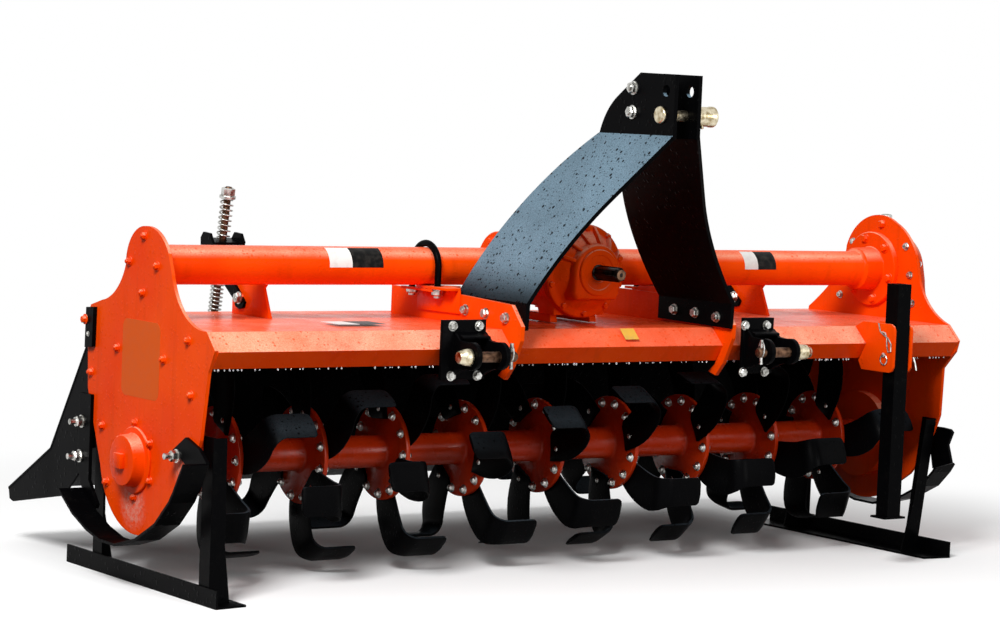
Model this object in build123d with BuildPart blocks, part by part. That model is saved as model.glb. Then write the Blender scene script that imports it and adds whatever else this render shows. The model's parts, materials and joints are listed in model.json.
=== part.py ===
from build123d import *
import math
import os

# Tractor-mounted rotary tiller, millimetres.
# +X runs along the working width, -Y is the tractor side, +Z is up, and the
# underside of the shipping stands is at Z = 0.  Profiles seen from the end of
# the machine are written as (y, z) from the rotor axis.

# ---------------------------------------------------------------- datums
ROTOR_Y = -59.0            # rotor axis, from the middle of the footprint
ROTOR_Z = 279.0            # rotor axis above the floor
HALF_W = 1080.0            # end plates, outer face to outer face = 2 * HALF_W
PLATE_T = 8.0
COVER_DEPTH = 50.0         # gear case cover, outside the right plate

# ---------------------------------------------------------------- rotor
FLANGE_X0 = 14.0           # middle flange, the gear case pushes it off centre
FLANGE_PITCH = 222.2
FLANGE_N = 9
FLANGE_R = 115.0
FLANGE_SIDES = 24          # the discs and the tube are drawn with flats
ROTOR_TUBE_SIDES = 16
FLANGE_T = 12.0
ROTOR_TUBE_R = 38.0
JOURNAL_R = 28.0
# leading corner of a right-hand blade on each flange, degrees from straight up
# towards the rear; the blades wind round the rotor in one helix
TINE_PHASE = [167.0, 182.0, 194.5, 210.5, 225.3, 238.4, 249.5, 261.0, 279.0]
TINE_HAND = {1: 0.0, -1: -58.0}    # hand: turn from the right-hand blade
TINES_PER_HAND = 3

# ---------------------------------------------------------------- tube, deck
TUBE_Y, TUBE_Z, TUBE_R = -10.0, 435.0, 44.5
DECK_T = 5.0
DECK_LINE = [(-318, 232), (-342, 270), (-300, 310), (238, 310), (244, 236)]

# ---------------------------------------------------------------- hitch
MAST_TAB_X = 39.0          # upper tabs, outer faces
MAST_FOOT_X = 303.0        # lower tabs, outer faces
MAST_T = 10.0
MAST_Z0, MAST_Z1 = 375.0, 765.0
TOP_PIN = (-502.0, 811.0)
TOP_PIN_R = 12.7
TOP_HOLE = (-517.0, 866.0)
TOP_HOLE_R = 13.0
LOWER_PIN = (-430.0, 260.0)
LOWER_PIN_R = 14.0
CLEVIS_X = [-441.0, 402.0]
EAR_HALF = 44.0            # middle of the clevis to the middle of an ear
EAR_T = 12.0

# ---------------------------------------------------------------- gearbox
GEAR_X = 0.0
PTO_Z = 436.0
PTO_R = 17.5
PTO_TIP_Y = -329.0
PTO_FACE_Y = -222.0

# ---------------------------------------------------------------- rear board
HINGE = (262.0, 256.0)
BOARD_LINE = [(270, 238), (445, -29), (663, -150)]
BOARD_T = 5.0
BOARD_X = 1066.0

# ---------------------------------------------------------------- spring rods
ROD_X = 698.5
ROD_TOP = (294.0, 600.0)
ROD_EYE = (362.0, 172.0)
ROD_R = 9.0
ROD_SIDES = 12
ROD_NUT = 17.0             # half width across the corners
YOKE_PIVOT = (148.0, 349.0)
YOKE_PIN_R = 8.0
YOKE_HALF = 42.0           # rod to the middle of each arm
YOKE_T = 7.0
SEAT_ALONG = 128.0         # spring seat, below the top of the rod
SPRING_R = 17.0
SPRING_BORE = 11.0
SPRING_SIDES = 12

# ---------------------------------------------------------------- stands, skids
STAND_X = 1066.0           # outer face of the stands
STAND_T = 5.0

# ---------------------------------------------------------------- parking leg
LEG_X, LEG_Y = 789.0, -420.0
LEG_W = 42.0
LEG_Z0, LEG_Z1 = -150.0, 423.0


def end_plane(x):
    """Plane seen from the right end: local (y, z) from the rotor axis."""
    return Plane(origin=(x, ROTOR_Y, ROTOR_Z), x_dir=(0, 1, 0), z_dir=(1, 0, 0))


def front_plane(y):
    """Plane seen from the tractor: local (x, z), normal towards -Y."""
    return Plane(origin=(0, ROTOR_Y + y, ROTOR_Z), x_dir=(1, 0, 0), z_dir=(0, -1, 0))


def top_plane(z):
    """Plane seen from above: local (x, y), normal up."""
    return Plane(origin=(0, ROTOR_Y, ROTOR_Z + z), x_dir=(1, 0, 0), z_dir=(0, 0, 1))


def thick_line(points, t):
    """Closed outline of a folded sheet: the line and its mitred offset, left of travel for t > 0."""
    offs = []
    for i, p in enumerate(points):
        dirs = []
        for a, b in ((i - 1, i), (i, i + 1)):
            if a >= 0 and b < len(points):
                dx, dy = points[b][0] - points[a][0], points[b][1] - points[a][1]
                n = math.hypot(dx, dy)
                dirs.append((-dy / n, dx / n))
        nx, ny = sum(d[0] for d in dirs) / len(dirs), sum(d[1] for d in dirs) / len(dirs)
        k = t / (nx * nx + ny * ny)
        offs.append((p[0] + nx * k, p[1] + ny * k))
    return list(points) + offs[::-1]


def draw(start, stretches):
    """Closed outline: each stretch is (its end, a point half way along its arc or None)."""
    here = start
    for end, through in stretches:
        if through:
            ThreePointArc(here, through, end)
        else:
            Line(here, end)
        here = end


def save(part, name):
    part.label = name
    export_step(part, "parts/" + name + ".step")


os.makedirs("parts", exist_ok=True)

# ================================================================ end plates
# outlines: a start, then rows of (end of the stretch, point half way along its arc or None)
LEFT_START = (-141, 420)
LEFT_OUTLINE = [
    ((-122, 466), None),
    ((-10, 520), (-80, 505)),
    ((74, 430), (48, 496)),
    ((180, 343), (106, 380)),
    ((236, 328), None),
    ((246, 252), (247, 292)),
    ((238, 137), None),
    ((166, -28), (205, 60)),
    ((-114, -130), (48, -157)),
    ((-187, -83), None),
    ((-290, 76), (-248, -4)),
    ((-314, 223), None),
    ((-340, 273), None),
    ((-301, 311), None),
    ((-141, 420), (-186, 350))]
RIGHT_START = (-180, 442)
RIGHT_OUTLINE = [
    ((-170, 480), None),
    ((-90, 558), (-142, 522)),
    ((98, 490), (35, 562)),
    ((135, 405), (108, 446)),
    ((238, 318), (180, 363)),
    ((246, 252), None),
    ((238, 137), None),
    ((166, -28), (205, 60)),
    ((-114, -132), (48, -158)),
    ((-187, -85), None),
    ((-286, 78), (-245, -8)),
    ((-290, 199), None),
    ((-331, 244), None),
    ((-340, 273), None),
    ((-301, 311), None),
    ((-180, 442), (-206, 380))]

with BuildPart() as side_plate_left:
    with BuildSketch(end_plane(-HALF_W)):
        with BuildLine():
            draw(LEFT_START, LEFT_OUTLINE)
        make_face()
    extrude(amount=PLATE_T)
save(side_plate_left.part, "side_plate_left")

with BuildPart() as side_plate_right:
    with BuildSketch(end_plane(HALF_W - PLATE_T)):
        with BuildLine():
            draw(RIGHT_START, RIGHT_OUTLINE)
        make_face()
    extrude(amount=PLATE_T)
save(side_plate_right.part, "side_plate_right")

COVER_START = (-182, 417)
COVER_OUTLINE = [
    ((-171, 463), None),
    ((-91, 548), (-142, 515)),
    ((86, 500), (20, 569)),
    ((126, 398), (98, 440)),
    ((198, 336), None),
    ((202, 306), None),
    ((202, 140), None),
    ((150, -22), (180, 55)),
    ((-98, -120), (34, -140)),
    ((-232, 32), (-176, -56)),
    ((-245, 84), None),
    ((-245, 194), None),
    ((-289, 239), None),
    ((-275, 282), None),
    ((-214, 334), None),
    ((-182, 417), (-192, 370))]
with BuildPart() as gear_case_cover:
    with BuildSketch(end_plane(HALF_W)):
        with BuildLine():
            draw(COVER_START, COVER_OUTLINE)
        make_face()
    extrude(amount=COVER_DEPTH)
    with BuildSketch(top_plane(550)):
        with Locations((HALF_W + 24, -16)):
            RegularPolygon(18, 12)
    extrude(amount=28)
save(gear_case_cover.part, "gear_case_cover")

# bearing housings with a bore for each journal
with BuildPart() as bearing_left:
    with BuildSketch(end_plane(-HALF_W - 35)):
        RegularPolygon(64, 32)
    extrude(amount=35)
    with BuildSketch(end_plane(-HALF_W - 35)):
        Rectangle(34, 34)
    extrude(amount=-12)
save(bearing_left.part, "bearing_cap_left")

with BuildPart() as bearing_inner:
    with BuildSketch(end_plane(-HALF_W + PLATE_T)):
        RegularPolygon(95, 28)
        RegularPolygon(JOURNAL_R + 0.6, 20, major_radius=False, mode=Mode.SUBTRACT)
    extrude(amount=24)
    with BuildSketch(end_plane(HALF_W - PLATE_T)):
        RegularPolygon(112, 28)
        RegularPolygon(JOURNAL_R + 0.6, 20, major_radius=False, mode=Mode.SUBTRACT)
    extrude(amount=-24)
save(bearing_inner.part, "bearing_housings")

# ================================================================ main tube
with BuildPart() as main_tube:
    with BuildSketch(end_plane(-HALF_W + PLATE_T)):
        with Locations((TUBE_Y, TUBE_Z)):
            Circle(TUBE_R)
            Circle(TUBE_R - 6, mode=Mode.SUBTRACT)
    extrude(amount=2 * (HALF_W - PLATE_T))
    with BuildSketch(end_plane(HALF_W - PLATE_T)):
        with Locations((TUBE_Y, TUBE_Z)):
            RegularPolygon(96, 28)
            Circle(TUBE_R - 6, mode=Mode.SUBTRACT)
    extrude(amount=-14)
    with BuildSketch(end_plane(HALF_W - PLATE_T - 14)):
        with Locations((TUBE_Y, TUBE_Z)):
            RegularPolygon(56, 24)
            Circle(TUBE_R - 6, mode=Mode.SUBTRACT)
    extrude(amount=-60)
save(main_tube.part, "main_tube")

# ================================================================ deck
with BuildPart() as deck:
    with BuildSketch(end_plane(-HALF_W + PLATE_T)):
        with BuildLine():
            Polyline(*thick_line(DECK_LINE, -DECK_T), close=True)
        make_face()
    extrude(amount=2 * (HALF_W - PLATE_T))
save(deck.part, "deck")

# ================================================================ rotor
with BuildPart() as rotor_shaft:
    x_l, x_r = -HALF_W + PLATE_T, HALF_W - PLATE_T
    with BuildSketch(end_plane(x_l + 40)):
        RegularPolygon(ROTOR_TUBE_R, ROTOR_TUBE_SIDES)
    extrude(amount=x_r - x_l - 80)
    with BuildSketch(end_plane(x_l + 2)):
        RegularPolygon(JOURNAL_R, 20)
    extrude(amount=38)
    with BuildSketch(end_plane(x_r - 2)):
        RegularPolygon(JOURNAL_R, 20)
    extrude(amount=-38)
    for k in range(FLANGE_N):
        x = FLANGE_X0 + (k - FLANGE_N // 2) * FLANGE_PITCH
        with BuildSketch(end_plane(x - FLANGE_T / 2)):
            RegularPolygon(FLANGE_R, FLANGE_SIDES)
        extrude(amount=FLANGE_T)
save(rotor_shaft.part, "rotor_shaft")

# one tine in its own frame: the blade lies flat across +Z and points towards +X
# the shank and its bend, seen along the blade's edge: (x from the flange's middle, z)
TINE_SIDE = [(6, 20), (6, 180), (17, 204), (42, 215), (124, 215), (124, 207),
             (44, 207), (23, 198), (14, 180), (14, 20)]
# the whole tine, seen from the end of the rotor: (y, z)
TINE_FACE = [(-79, 30), (-126, 84), (-147, 138), (-146, 186), (-130, 216), (-64, 216),
             (-62, 178), (-47, 121), (-28, 79)]
TINE_LEAD = math.degrees(math.atan2(130, 215))     # leading corner, from the frame's +Z


def tine(hand):
    """A tine of one hand, on its own axes."""
    with BuildPart() as one:
        with BuildSketch(Plane(origin=(0, -160, 0), x_dir=(1, 0, 0), z_dir=(0, -1, 0))):
            with BuildLine():
                Polyline(*[(hand * x, z) for x, z in TINE_SIDE], close=True)
            make_face()
        extrude(amount=-150)
        with BuildSketch(Plane(origin=(-140, 0, 0), x_dir=(0, 1, 0), z_dir=(1, 0, 0))):
            with BuildLine():
                Polyline(*TINE_FACE, close=True)
            make_face()
        extrude(amount=280, mode=Mode.INTERSECT)
    return one.part


for hand, name in ((-1, "tines_left"), (1, "tines_right")):
    blank = tine(hand)
    with BuildPart() as tines:
        for k in range(FLANGE_N):
            x = FLANGE_X0 + (k - FLANGE_N // 2) * FLANGE_PITCH
            for n in range(TINES_PER_HAND):
                angle = TINE_PHASE[k] + TINE_HAND[hand] + TINE_LEAD + 360 * n / TINES_PER_HAND
                with Locations(Location((x, ROTOR_Y, ROTOR_Z), (-angle, 0, 0))):
                    add(blank)
    save(tines.part, name)

# ================================================================ gearbox
# steps of the housing along the PTO axis: (radius, y of its front, length, taper)
GEARBOX_STEPS = [
    (72, -222, 16, 0), (72, -206, 34, -20), (112, -172, 16, 0), (95, -156, 216, 0), (78, 60, 18, 0)]
GEARBOX_SIDES = 18
RIB = [(60, -212), (72, -206), (110, -174), (110, -168), (60, -168)]
RIB_N = 10
RIB_T = 7.0
with BuildPart() as gearbox:
    for radius, y, length, taper in GEARBOX_STEPS:
        with BuildSketch(front_plane(y)):
            with Locations((GEAR_X, PTO_Z)):
                RegularPolygon(radius, GEARBOX_SIDES)
        extrude(amount=-length, taper=taper)
    pto_line = Plane(origin=(GEAR_X, ROTOR_Y, ROTOR_Z + PTO_Z), x_dir=(1, 0, 0), z_dir=(0, 0, 1))
    for k in range(RIB_N):
        turn = Plane(pto_line.location * Location((0, 0, 0), (0, 360 * (k + 0.5) / RIB_N, 0)))
        with BuildSketch(turn):
            with BuildLine():
                Polyline(*RIB, close=True)
            make_face()
        extrude(amount=RIB_T / 2, both=True)
    for side in (-1, 1):
        for radius, x, length in ((72, 60, 60), (84, 120, 12)):
            with BuildSketch(end_plane(GEAR_X + side * x)):
                with Locations((TUBE_Y, TUBE_Z)):
                    RegularPolygon(radius, GEARBOX_SIDES)
            extrude(amount=side * length)
    for x in (-58, 58):
        with BuildSketch(end_plane(GEAR_X + x - 15)):
            with BuildLine():
                Polyline((-168, 330), (-110, 330), (-110, 352), (40, 352), (40, 330), (70, 330),
                         (70, 385), (-168, 385), close=True)
            make_face()
        extrude(amount=30)
    with BuildSketch(front_plane(PTO_FACE_Y)):
        with Locations((GEAR_X, PTO_Z)):
            RegularPolygon(PTO_R + 3.1, 16, major_radius=False)
    extrude(amount=-60, mode=Mode.SUBTRACT)
    with BuildSketch(end_plane(-200)):
        with Locations((TUBE_Y, TUBE_Z)):
            RegularPolygon(TUBE_R + 0.2, GEARBOX_SIDES, major_radius=False)
    extrude(amount=400, mode=Mode.SUBTRACT)
save(gearbox.part, "gearbox_housing")

with BuildPart() as gearbox_rails:
    for x in (-58, 58):
        with BuildSketch(top_plane(310)):
            with Locations((GEAR_X + x, -65)):
                Rectangle(40, 250)
        extrude(amount=20)
save(gearbox_rails.part, "gearbox_rails")

with BuildPart() as pto_shaft:
    with BuildSketch(front_plane(PTO_TIP_Y)):
        with Locations((GEAR_X, PTO_Z)):
            Circle(PTO_R)
    extrude(amount=PTO_TIP_Y - PTO_FACE_Y + 3)
    with BuildSketch(front_plane(PTO_FACE_Y - 3)):
        with Locations((GEAR_X, PTO_Z)):
            RegularPolygon(PTO_R + 3, 16)
    extrude(amount=-40)
save(pto_shaft.part, "pto_shaft")

# ================================================================ mast
MAST_LEN = math.hypot(MAST_FOOT_X - MAST_TAB_X, MAST_Z1 - MAST_Z0)
# the leg laid flat: (y, distance up the slope), in rows as for the end plates
MAST_START = (-100, 0)
MAST_STRIP = [
    ((-270, 471), (-139, 264)),
    ((-548, 471), None),
    ((-458, 300), None),
    ((-380, 0), (-402, 158)),
    ((-100, 0), None)]
MAST_TAB_START = (-270, 758)
MAST_UPPER = [
    ((-336, 851), (-293, 808)),
    ((-419, 906), None),
    ((-548, 903), None),
    ((-548, 758), None),
    ((-270, 758), None)]
MAST_LOWER = [(-100, 375), (-100, 317), (-376, 313), (-380, 375)]


def flat(point):
    """Point of the leg's strip on the sloping plane, stretched to the slope's length."""
    if point is None:
        return None
    return (point[0], up * point[1] * MAST_LEN / 471.0)


for side, name in ((-1, "mast_leg_left"), (1, "mast_leg_right")):
    slope = Plane(origin=(side * MAST_FOOT_X, ROTOR_Y, ROTOR_Z + MAST_Z0), x_dir=(0, 1, 0),
                  z_dir=(-side * (MAST_Z1 - MAST_Z0), 0, -(MAST_FOOT_X - MAST_TAB_X)))
    up = 1 if slope.y_dir.Z > 0 else -1
    with BuildPart() as leg:
        with BuildSketch(slope):
            with BuildLine():
                draw(flat(MAST_START), [(flat(a), flat(b)) for a, b in MAST_STRIP])
            make_face()
        extrude(amount=MAST_T)
        with BuildSketch(end_plane(side * MAST_TAB_X)):
            with BuildLine():
                draw(MAST_TAB_START, MAST_UPPER)
            make_face()
            with Locations(TOP_PIN):
                RegularPolygon(TOP_PIN_R + 0.3, 20, major_radius=False, mode=Mode.SUBTRACT)
            with Locations(TOP_HOLE):
                Circle(TOP_HOLE_R, mode=Mode.SUBTRACT)
        extrude(amount=-side * MAST_T)
        with BuildSketch(end_plane(side * MAST_FOOT_X)):
            with BuildLine():
                Polyline(*MAST_LOWER, close=True)
            make_face()
        extrude(amount=-side * MAST_T)
    save(leg.part, name)

with BuildPart() as mast_spacers:
    for y, z in ((-397, 870), (-396, 815)):
        with BuildSketch(end_plane(-MAST_TAB_X + MAST_T)):
            with Locations((y, z)):
                RegularPolygon(15, 16)
        extrude(amount=2 * (MAST_TAB_X - MAST_T))
save(mast_spacers.part, "mast_spacers")

with BuildPart() as top_pin:
    with BuildSketch(end_plane(-MAST_TAB_X - 8)):
        with Locations(TOP_PIN):
            Circle(TOP_PIN_R)
    extrude(amount=2 * MAST_TAB_X + 60)
    with BuildSketch(end_plane(-MAST_TAB_X - 0.5)):
        with Locations(TOP_PIN):
            RegularPolygon(20, 20)
    extrude(amount=-14)
save(top_pin.part, "top_link_pin")

# ================================================================ mast brackets
BRACKET = [
    (166, 310), (166, 378), (-133, 376), (-335, 368), (-377, 322), (-376, 289),
    (-345, 227), (-318, 196), (-292, 204), (-314, 222), (-342, 270), (-300, 310)]
with BuildPart() as mast_brackets:
    for side in (-1, 1):
        with BuildSketch(end_plane(side * MAST_FOOT_X)):
            with BuildLine():
                Polyline(*BRACKET, close=True)
            make_face()
        extrude(amount=side * 10)
        with BuildSketch(top_plane(378)):
            with Locations((side * (MAST_FOOT_X + 30), 0)):
                Rectangle(40, 130)
        extrude(amount=6)
save(mast_brackets.part, "mast_brackets")

U_BOLT_STEPS = 8           # flats round the bend
U_BOLT_FOOT = 384.0
with BuildPart() as u_bolts:
    for side in (-1, 1):
        bend = {}
        for r in (46, 62):
            bend[r] = [(TUBE_Y - r * math.cos(math.pi * n / U_BOLT_STEPS),
                        TUBE_Z + r * math.sin(math.pi * n / U_BOLT_STEPS)) for n in range(U_BOLT_STEPS + 1)]
        outline = [(TUBE_Y - 62, U_BOLT_FOOT)] + bend[62] + [(TUBE_Y + 62, U_BOLT_FOOT),
                                                            (TUBE_Y + 46, U_BOLT_FOOT)]
        outline += bend[46][::-1] + [(TUBE_Y - 46, U_BOLT_FOOT)]
        with BuildSketch(end_plane(side * (MAST_FOOT_X + 32) - 8)):
            with BuildLine():
                Polyline(*outline, close=True)
            make_face()
        extrude(amount=16)
save(u_bolts.part, "u_bolts")

# ================================================================ lower hitch
EAR = [(-348, 310), (-348, 206), (-404, 232), (-420, 236), (-452, 240), (-464, 262),
       (-455, 286), (-430, 290), (-396, 292), (-362, 310)]
BASE_Z = 270.0
with BuildPart() as clevises:
    for cx in CLEVIS_X:
        with BuildSketch(front_plane(-348)):
            with Locations((cx, BASE_Z)):
                Rectangle(126, 134)
        extrude(amount=10)
        with BuildSketch(end_plane(cx - EAR_HALF)):
            with BuildLine():
                Polyline((-357, 304), (-357, 310), (-388, 302), (-388, 296), close=True)
            make_face()
        extrude(amount=2 * EAR_HALF)
        for s in (-1, 1):
            with BuildSketch(end_plane(cx + s * EAR_HALF - EAR_T / 2)):
                with BuildLine():
                    Polyline(*EAR, close=True)
                make_face()
                with Locations(LOWER_PIN):
                    RegularPolygon(LOWER_PIN_R + 0.3, 20, major_radius=False, mode=Mode.SUBTRACT)
            extrude(amount=EAR_T)
save(clevises.part, "lower_hitch_clevises")

with BuildPart() as lower_pins:
    for cx, s in zip(CLEVIS_X, (1, -1)):
        with BuildSketch(end_plane(cx - s * (EAR_HALF + EAR_T / 2 + 0.5))):
            with Locations(LOWER_PIN):
                RegularPolygon(19, 20)
        extrude(amount=-s * 14)
        with BuildSketch(end_plane(cx - s * (EAR_HALF + EAR_T / 2 + 0.5))):
            with Locations(LOWER_PIN):
                Circle(LOWER_PIN_R)
        extrude(amount=s * (2 * EAR_HALF + EAR_T + 24))
save(lower_pins.part, "lower_link_pins")

# ================================================================ spring rods
GUSSET = [(20, 310), (193, 310), (193, 372), (176, 386), (120, 392), (66, 440),
          (-10, 440), (30, 400), (52, 378)]
with BuildPart() as rod_gussets:
    for side in (-1, 1):
        x = side * (ROD_X + YOKE_HALF) + YOKE_T / 2 + 0.5
        with BuildSketch(end_plane(x)):
            with BuildLine():
                Polyline(*GUSSET, close=True)
            make_face()
            with Locations((TUBE_Y, TUBE_Z)):
                RegularPolygon(TUBE_R + 0.1, 32, major_radius=False, mode=Mode.SUBTRACT)
        extrude(amount=8)
        with BuildSketch(end_plane(x)):
            with Locations(YOKE_PIVOT):
                RegularPolygon(YOKE_PIN_R, 20)
        extrude(amount=-(YOKE_T + 1))
        with BuildSketch(end_plane(x - YOKE_T - 1)):
            with Locations(YOKE_PIVOT):
                RegularPolygon(14, 6)
        extrude(amount=-9)
save(rod_gussets.part, "rod_gussets")

rod_dy = ROD_EYE[0] - ROD_TOP[0]
rod_dz = ROD_EYE[1] - ROD_TOP[1]
ROD_LEN = math.hypot(rod_dy, rod_dz)


def rod_plane(x, along):
    """Plane across the rod: origin on the rod axis, `along` mm below its top."""
    u = along / ROD_LEN
    return Plane(origin=(x, ROTOR_Y + ROD_TOP[0] + u * rod_dy, ROTOR_Z + ROD_TOP[1] + u * rod_dz),
                 x_dir=(1, 0, 0), z_dir=(0, -rod_dy, -rod_dz))


# outline of the long arm, from the pivot up to the spring seat
ARM = [(126, 340), (132, 327), (148, 323), (164, 328), (175, 344), (338, 452), (340, 478),
       (328, 492), (298, 490), (284, 470)]
SHORT_ARM = [(300, 440), (338, 452), (340, 478), (328, 492), (298, 490), (284, 470)]
for side, word in ((-1, "left"), (1, "right")):
    x = side * ROD_X
    with BuildPart() as yoke:
        with BuildSketch(rod_plane(x, SEAT_ALONG)):
            Rectangle(2 * YOKE_HALF, 54)
            RegularPolygon(ROD_R + 2, ROD_SIDES, mode=Mode.SUBTRACT)
        extrude(amount=-8)
        for outline, middle in ((ARM, side * YOKE_HALF), (SHORT_ARM, -side * YOKE_HALF)):
            with BuildSketch(end_plane(x + middle - YOKE_T / 2)):
                with BuildLine():
                    Polyline(*outline, close=True)
                make_face()
                if outline is ARM:
                    with Locations(YOKE_PIVOT):
                        RegularPolygon(YOKE_PIN_R + 0.3, 20, major_radius=False, mode=Mode.SUBTRACT)
            extrude(amount=YOKE_T)
    save(yoke.part, "rod_yoke_" + word)
    with BuildPart() as rod:
        with BuildSketch(rod_plane(x, 0)):
            RegularPolygon(ROD_R, ROD_SIDES)
        extrude(amount=-(ROD_LEN + 12))
        for along, thick in ((6, 22), (330, 16)):
            with BuildSketch(rod_plane(x, along)):
                RegularPolygon(ROD_NUT, 6)
            extrude(amount=-thick)
    save(rod.part, "spring_rod_" + word)
    for name, start, end in (("upper_spring_", 29, SEAT_ALONG), ("lower_spring_", 205, 329)):
        with BuildPart() as spring:
            with BuildSketch(rod_plane(x, start)):
                RegularPolygon(SPRING_R, SPRING_SIDES)
                RegularPolygon(SPRING_BORE, SPRING_SIDES, mode=Mode.SUBTRACT)
            extrude(amount=-(end - start))
        save(spring.part, name + word)

# ================================================================ rear board
with BuildPart() as rear_board:
    with BuildSketch(end_plane(-BOARD_X)):
        with BuildLine():
            Polyline(*thick_line(BOARD_LINE, BOARD_T), close=True)
        make_face()
    extrude(amount=2 * BOARD_X)
save(rear_board.part, "rear_board")

BOARD_END = [(270, 238), (445, -29), (663, -150), (658, -172), (638, -177), (373, -129),
             (292, -60), (262, 60), (258, 200)]
with BuildPart() as board_ends:
    for side in (-1, 1):
        with BuildSketch(end_plane(side * (BOARD_X - 6))):
            with BuildLine():
                Polyline(*BOARD_END, close=True)
            make_face()
        extrude(amount=side * 5)
save(board_ends.part, "board_end_plates")

KNUCKLES = [-930, -310, 310, 930]
HINGE_PIN_R = 8.0
with BuildPart() as knuckles:
    for x in KNUCKLES:
        with BuildSketch(end_plane(x - 30)):
            with Locations(HINGE):
                RegularPolygon(13, 12)
            with BuildLine():
                Polyline((259, 247), (265, 238.5), (270, 238.5), (274.6, 241), (270, 256), close=True)
            make_face()
            with Locations(HINGE):
                RegularPolygon(HINGE_PIN_R + 0.2, 12, major_radius=False, mode=Mode.SUBTRACT)
        extrude(amount=60)
save(knuckles.part, "board_knuckles")

with BuildPart() as hinge_lugs:
    for x in KNUCKLES:
        for s in (-1, 1):
            with BuildSketch(end_plane(x + s * 37 - 4)):
                with BuildLine():
                    Polyline((245, 274), (270, 270), (274, 250), (262, 242), (245, 240), close=True)
                make_face()
            extrude(amount=8)
    # one rod runs through all the knuckles
    with BuildSketch(end_plane(KNUCKLES[0] - 48)):
        with Locations(HINGE):
            RegularPolygon(HINGE_PIN_R, 12)
    extrude(amount=KNUCKLES[-1] - KNUCKLES[0] + 96)
save(hinge_lugs.part, "board_hinge_lugs")


def on_board(along, out):
    """Point on the upper flat of the board: distance from its top edge, and off its lower face."""
    (y0, z0), (y1, z1) = BOARD_LINE[:2]
    n = math.hypot(y1 - y0, z1 - z0)
    uy, uz = (y1 - y0) / n, (z1 - z0) / n
    return (y0 + uy * along - uz * out, z0 + uz * along + uy * out)


with BuildPart() as rod_ears:
    for side in (-1, 1):
        for s in (-1, 1):
            with BuildSketch(end_plane(side * ROD_X + s * 22 - 3)):
                with BuildLine():
                    Polyline(*[on_board(a, h) for a, h in (
                        (50, BOARD_T + 0.2), (140, BOARD_T + 0.2), (124, 48), (112, 60),
                        (96, 62), (82, 54))], close=True)
                make_face()
            extrude(amount=6)
save(rod_ears.part, "board_rod_ears")

# ================================================================ skids
SKID_START = (240, -96)
SKID = [(170, -140), (101, -167), (33, -183), (-40, -184), (-134, -159), (-221, -114)]
SKID_FRONT = {-1: [(-283, -57), (-300, -34), (-340, 30)], 1: [(-262, -73), (-277, -52)]}
SKID_REAR_BAR = [(205, 125), (262, 125), (262, -40), (240, -88), (165, -130), (160, -120), (205, -70)]
SKID_FRONT_BAR = {
    -1: [(-185, 45), (-240, 78), (-300, 60), (-334, 34), (-300, -30), (-270, -60), (-262, -40),
         (-290, 0)],
    1: [(-240, 46), (-290, 47), (-319, 45), (-328, 38), (-313, 4), (-329, -41), (-262, -62),
        (-250, -10)]}
with BuildPart() as skids:
    for side in (-1, 1):
        with BuildSketch(end_plane(side * (HALF_W + 4))):
            with BuildLine():
                Polyline(*thick_line([SKID_START] + SKID + SKID_FRONT[side], -6), close=True)
            make_face()
        extrude(amount=side * 62)
        for bar in (SKID_REAR_BAR, SKID_FRONT_BAR[side]):
            with BuildSketch(end_plane(side * (HALF_W + 0.5))):
                with BuildLine():
                    Polyline(*bar, close=True)
                make_face()
            extrude(amount=side * 8)
save(skids.part, "skids")

# ================================================================ stands
# angle-iron legs: side, corner y at the floor and at the top, way the side flange runs, top z,
# inner flange
STAND_LEGS = [
    (-1, -316, -316, 1, 84, 33), (-1, 226, 226, -1, 22, 24),
    (1, -239, -287, 1, 70, 33), (1, 226, 226, -1, 22, 24)]
STAND_Z = -ROTOR_Z
STAND_Y = (-358, 345)
STAND_HIGH = 41.0
STAND_FOOT = 80.0
STAND_LEG_W = 45.0
with BuildPart() as stands:
    for side in (-1, 1):
        face = side * STAND_X
        with BuildSketch(end_plane(face)):
            with BuildLine():
                Polyline((STAND_Y[0], STAND_Z), (STAND_Y[1], STAND_Z), (STAND_Y[1], STAND_Z + STAND_HIGH),
                         (STAND_Y[0], STAND_Z + STAND_HIGH), close=True)
            make_face()
        extrude(amount=-side * STAND_T)
        with BuildSketch(top_plane(STAND_Z)):
            with BuildLine():
                Polyline((face, STAND_Y[0]), (face, STAND_Y[1]), (face - side * STAND_FOOT, STAND_Y[1]),
                         (face - side * STAND_FOOT, STAND_Y[0] + 10), close=True)
            make_face()
        extrude(amount=STAND_T)
    for side, foot, head, way, top, inner in STAND_LEGS:
        face = side * (STAND_X - STAND_T)
        lean, rise = head - foot, top - STAND_Z
        stretch = math.hypot(lean, rise) / rise
        with BuildSketch(end_plane(face)):
            with BuildLine():
                Polyline((foot, STAND_Z + 2), (head, top), (head + way * STAND_LEG_W, top),
                         (foot + way * STAND_LEG_W, STAND_Z + 2), close=True)
            make_face()
        extrude(amount=-side * STAND_T)
        # the inner flange lies along the corner, on a plane that leans with it
        corner = foot - lean * STAND_Z / rise + (STAND_T if way > 0 else 0)
        along = Plane(origin=(0, ROTOR_Y + corner, ROTOR_Z), x_dir=(1, 0, 0), z_dir=(0, -rise, lean))
        with BuildSketch(along):
            with BuildLine():
                Polyline((face, (STAND_Z + 3) * stretch), (face, (top - 1) * stretch),
                         (face - side * inner, (top - 1) * stretch), (face - side * (inner + 3), -150),
                         (face - side * 52, (STAND_Z + 3) * stretch), close=True)
            make_face()
        extrude(amount=STAND_T)
save(stands.part, "shipping_stands")

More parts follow.
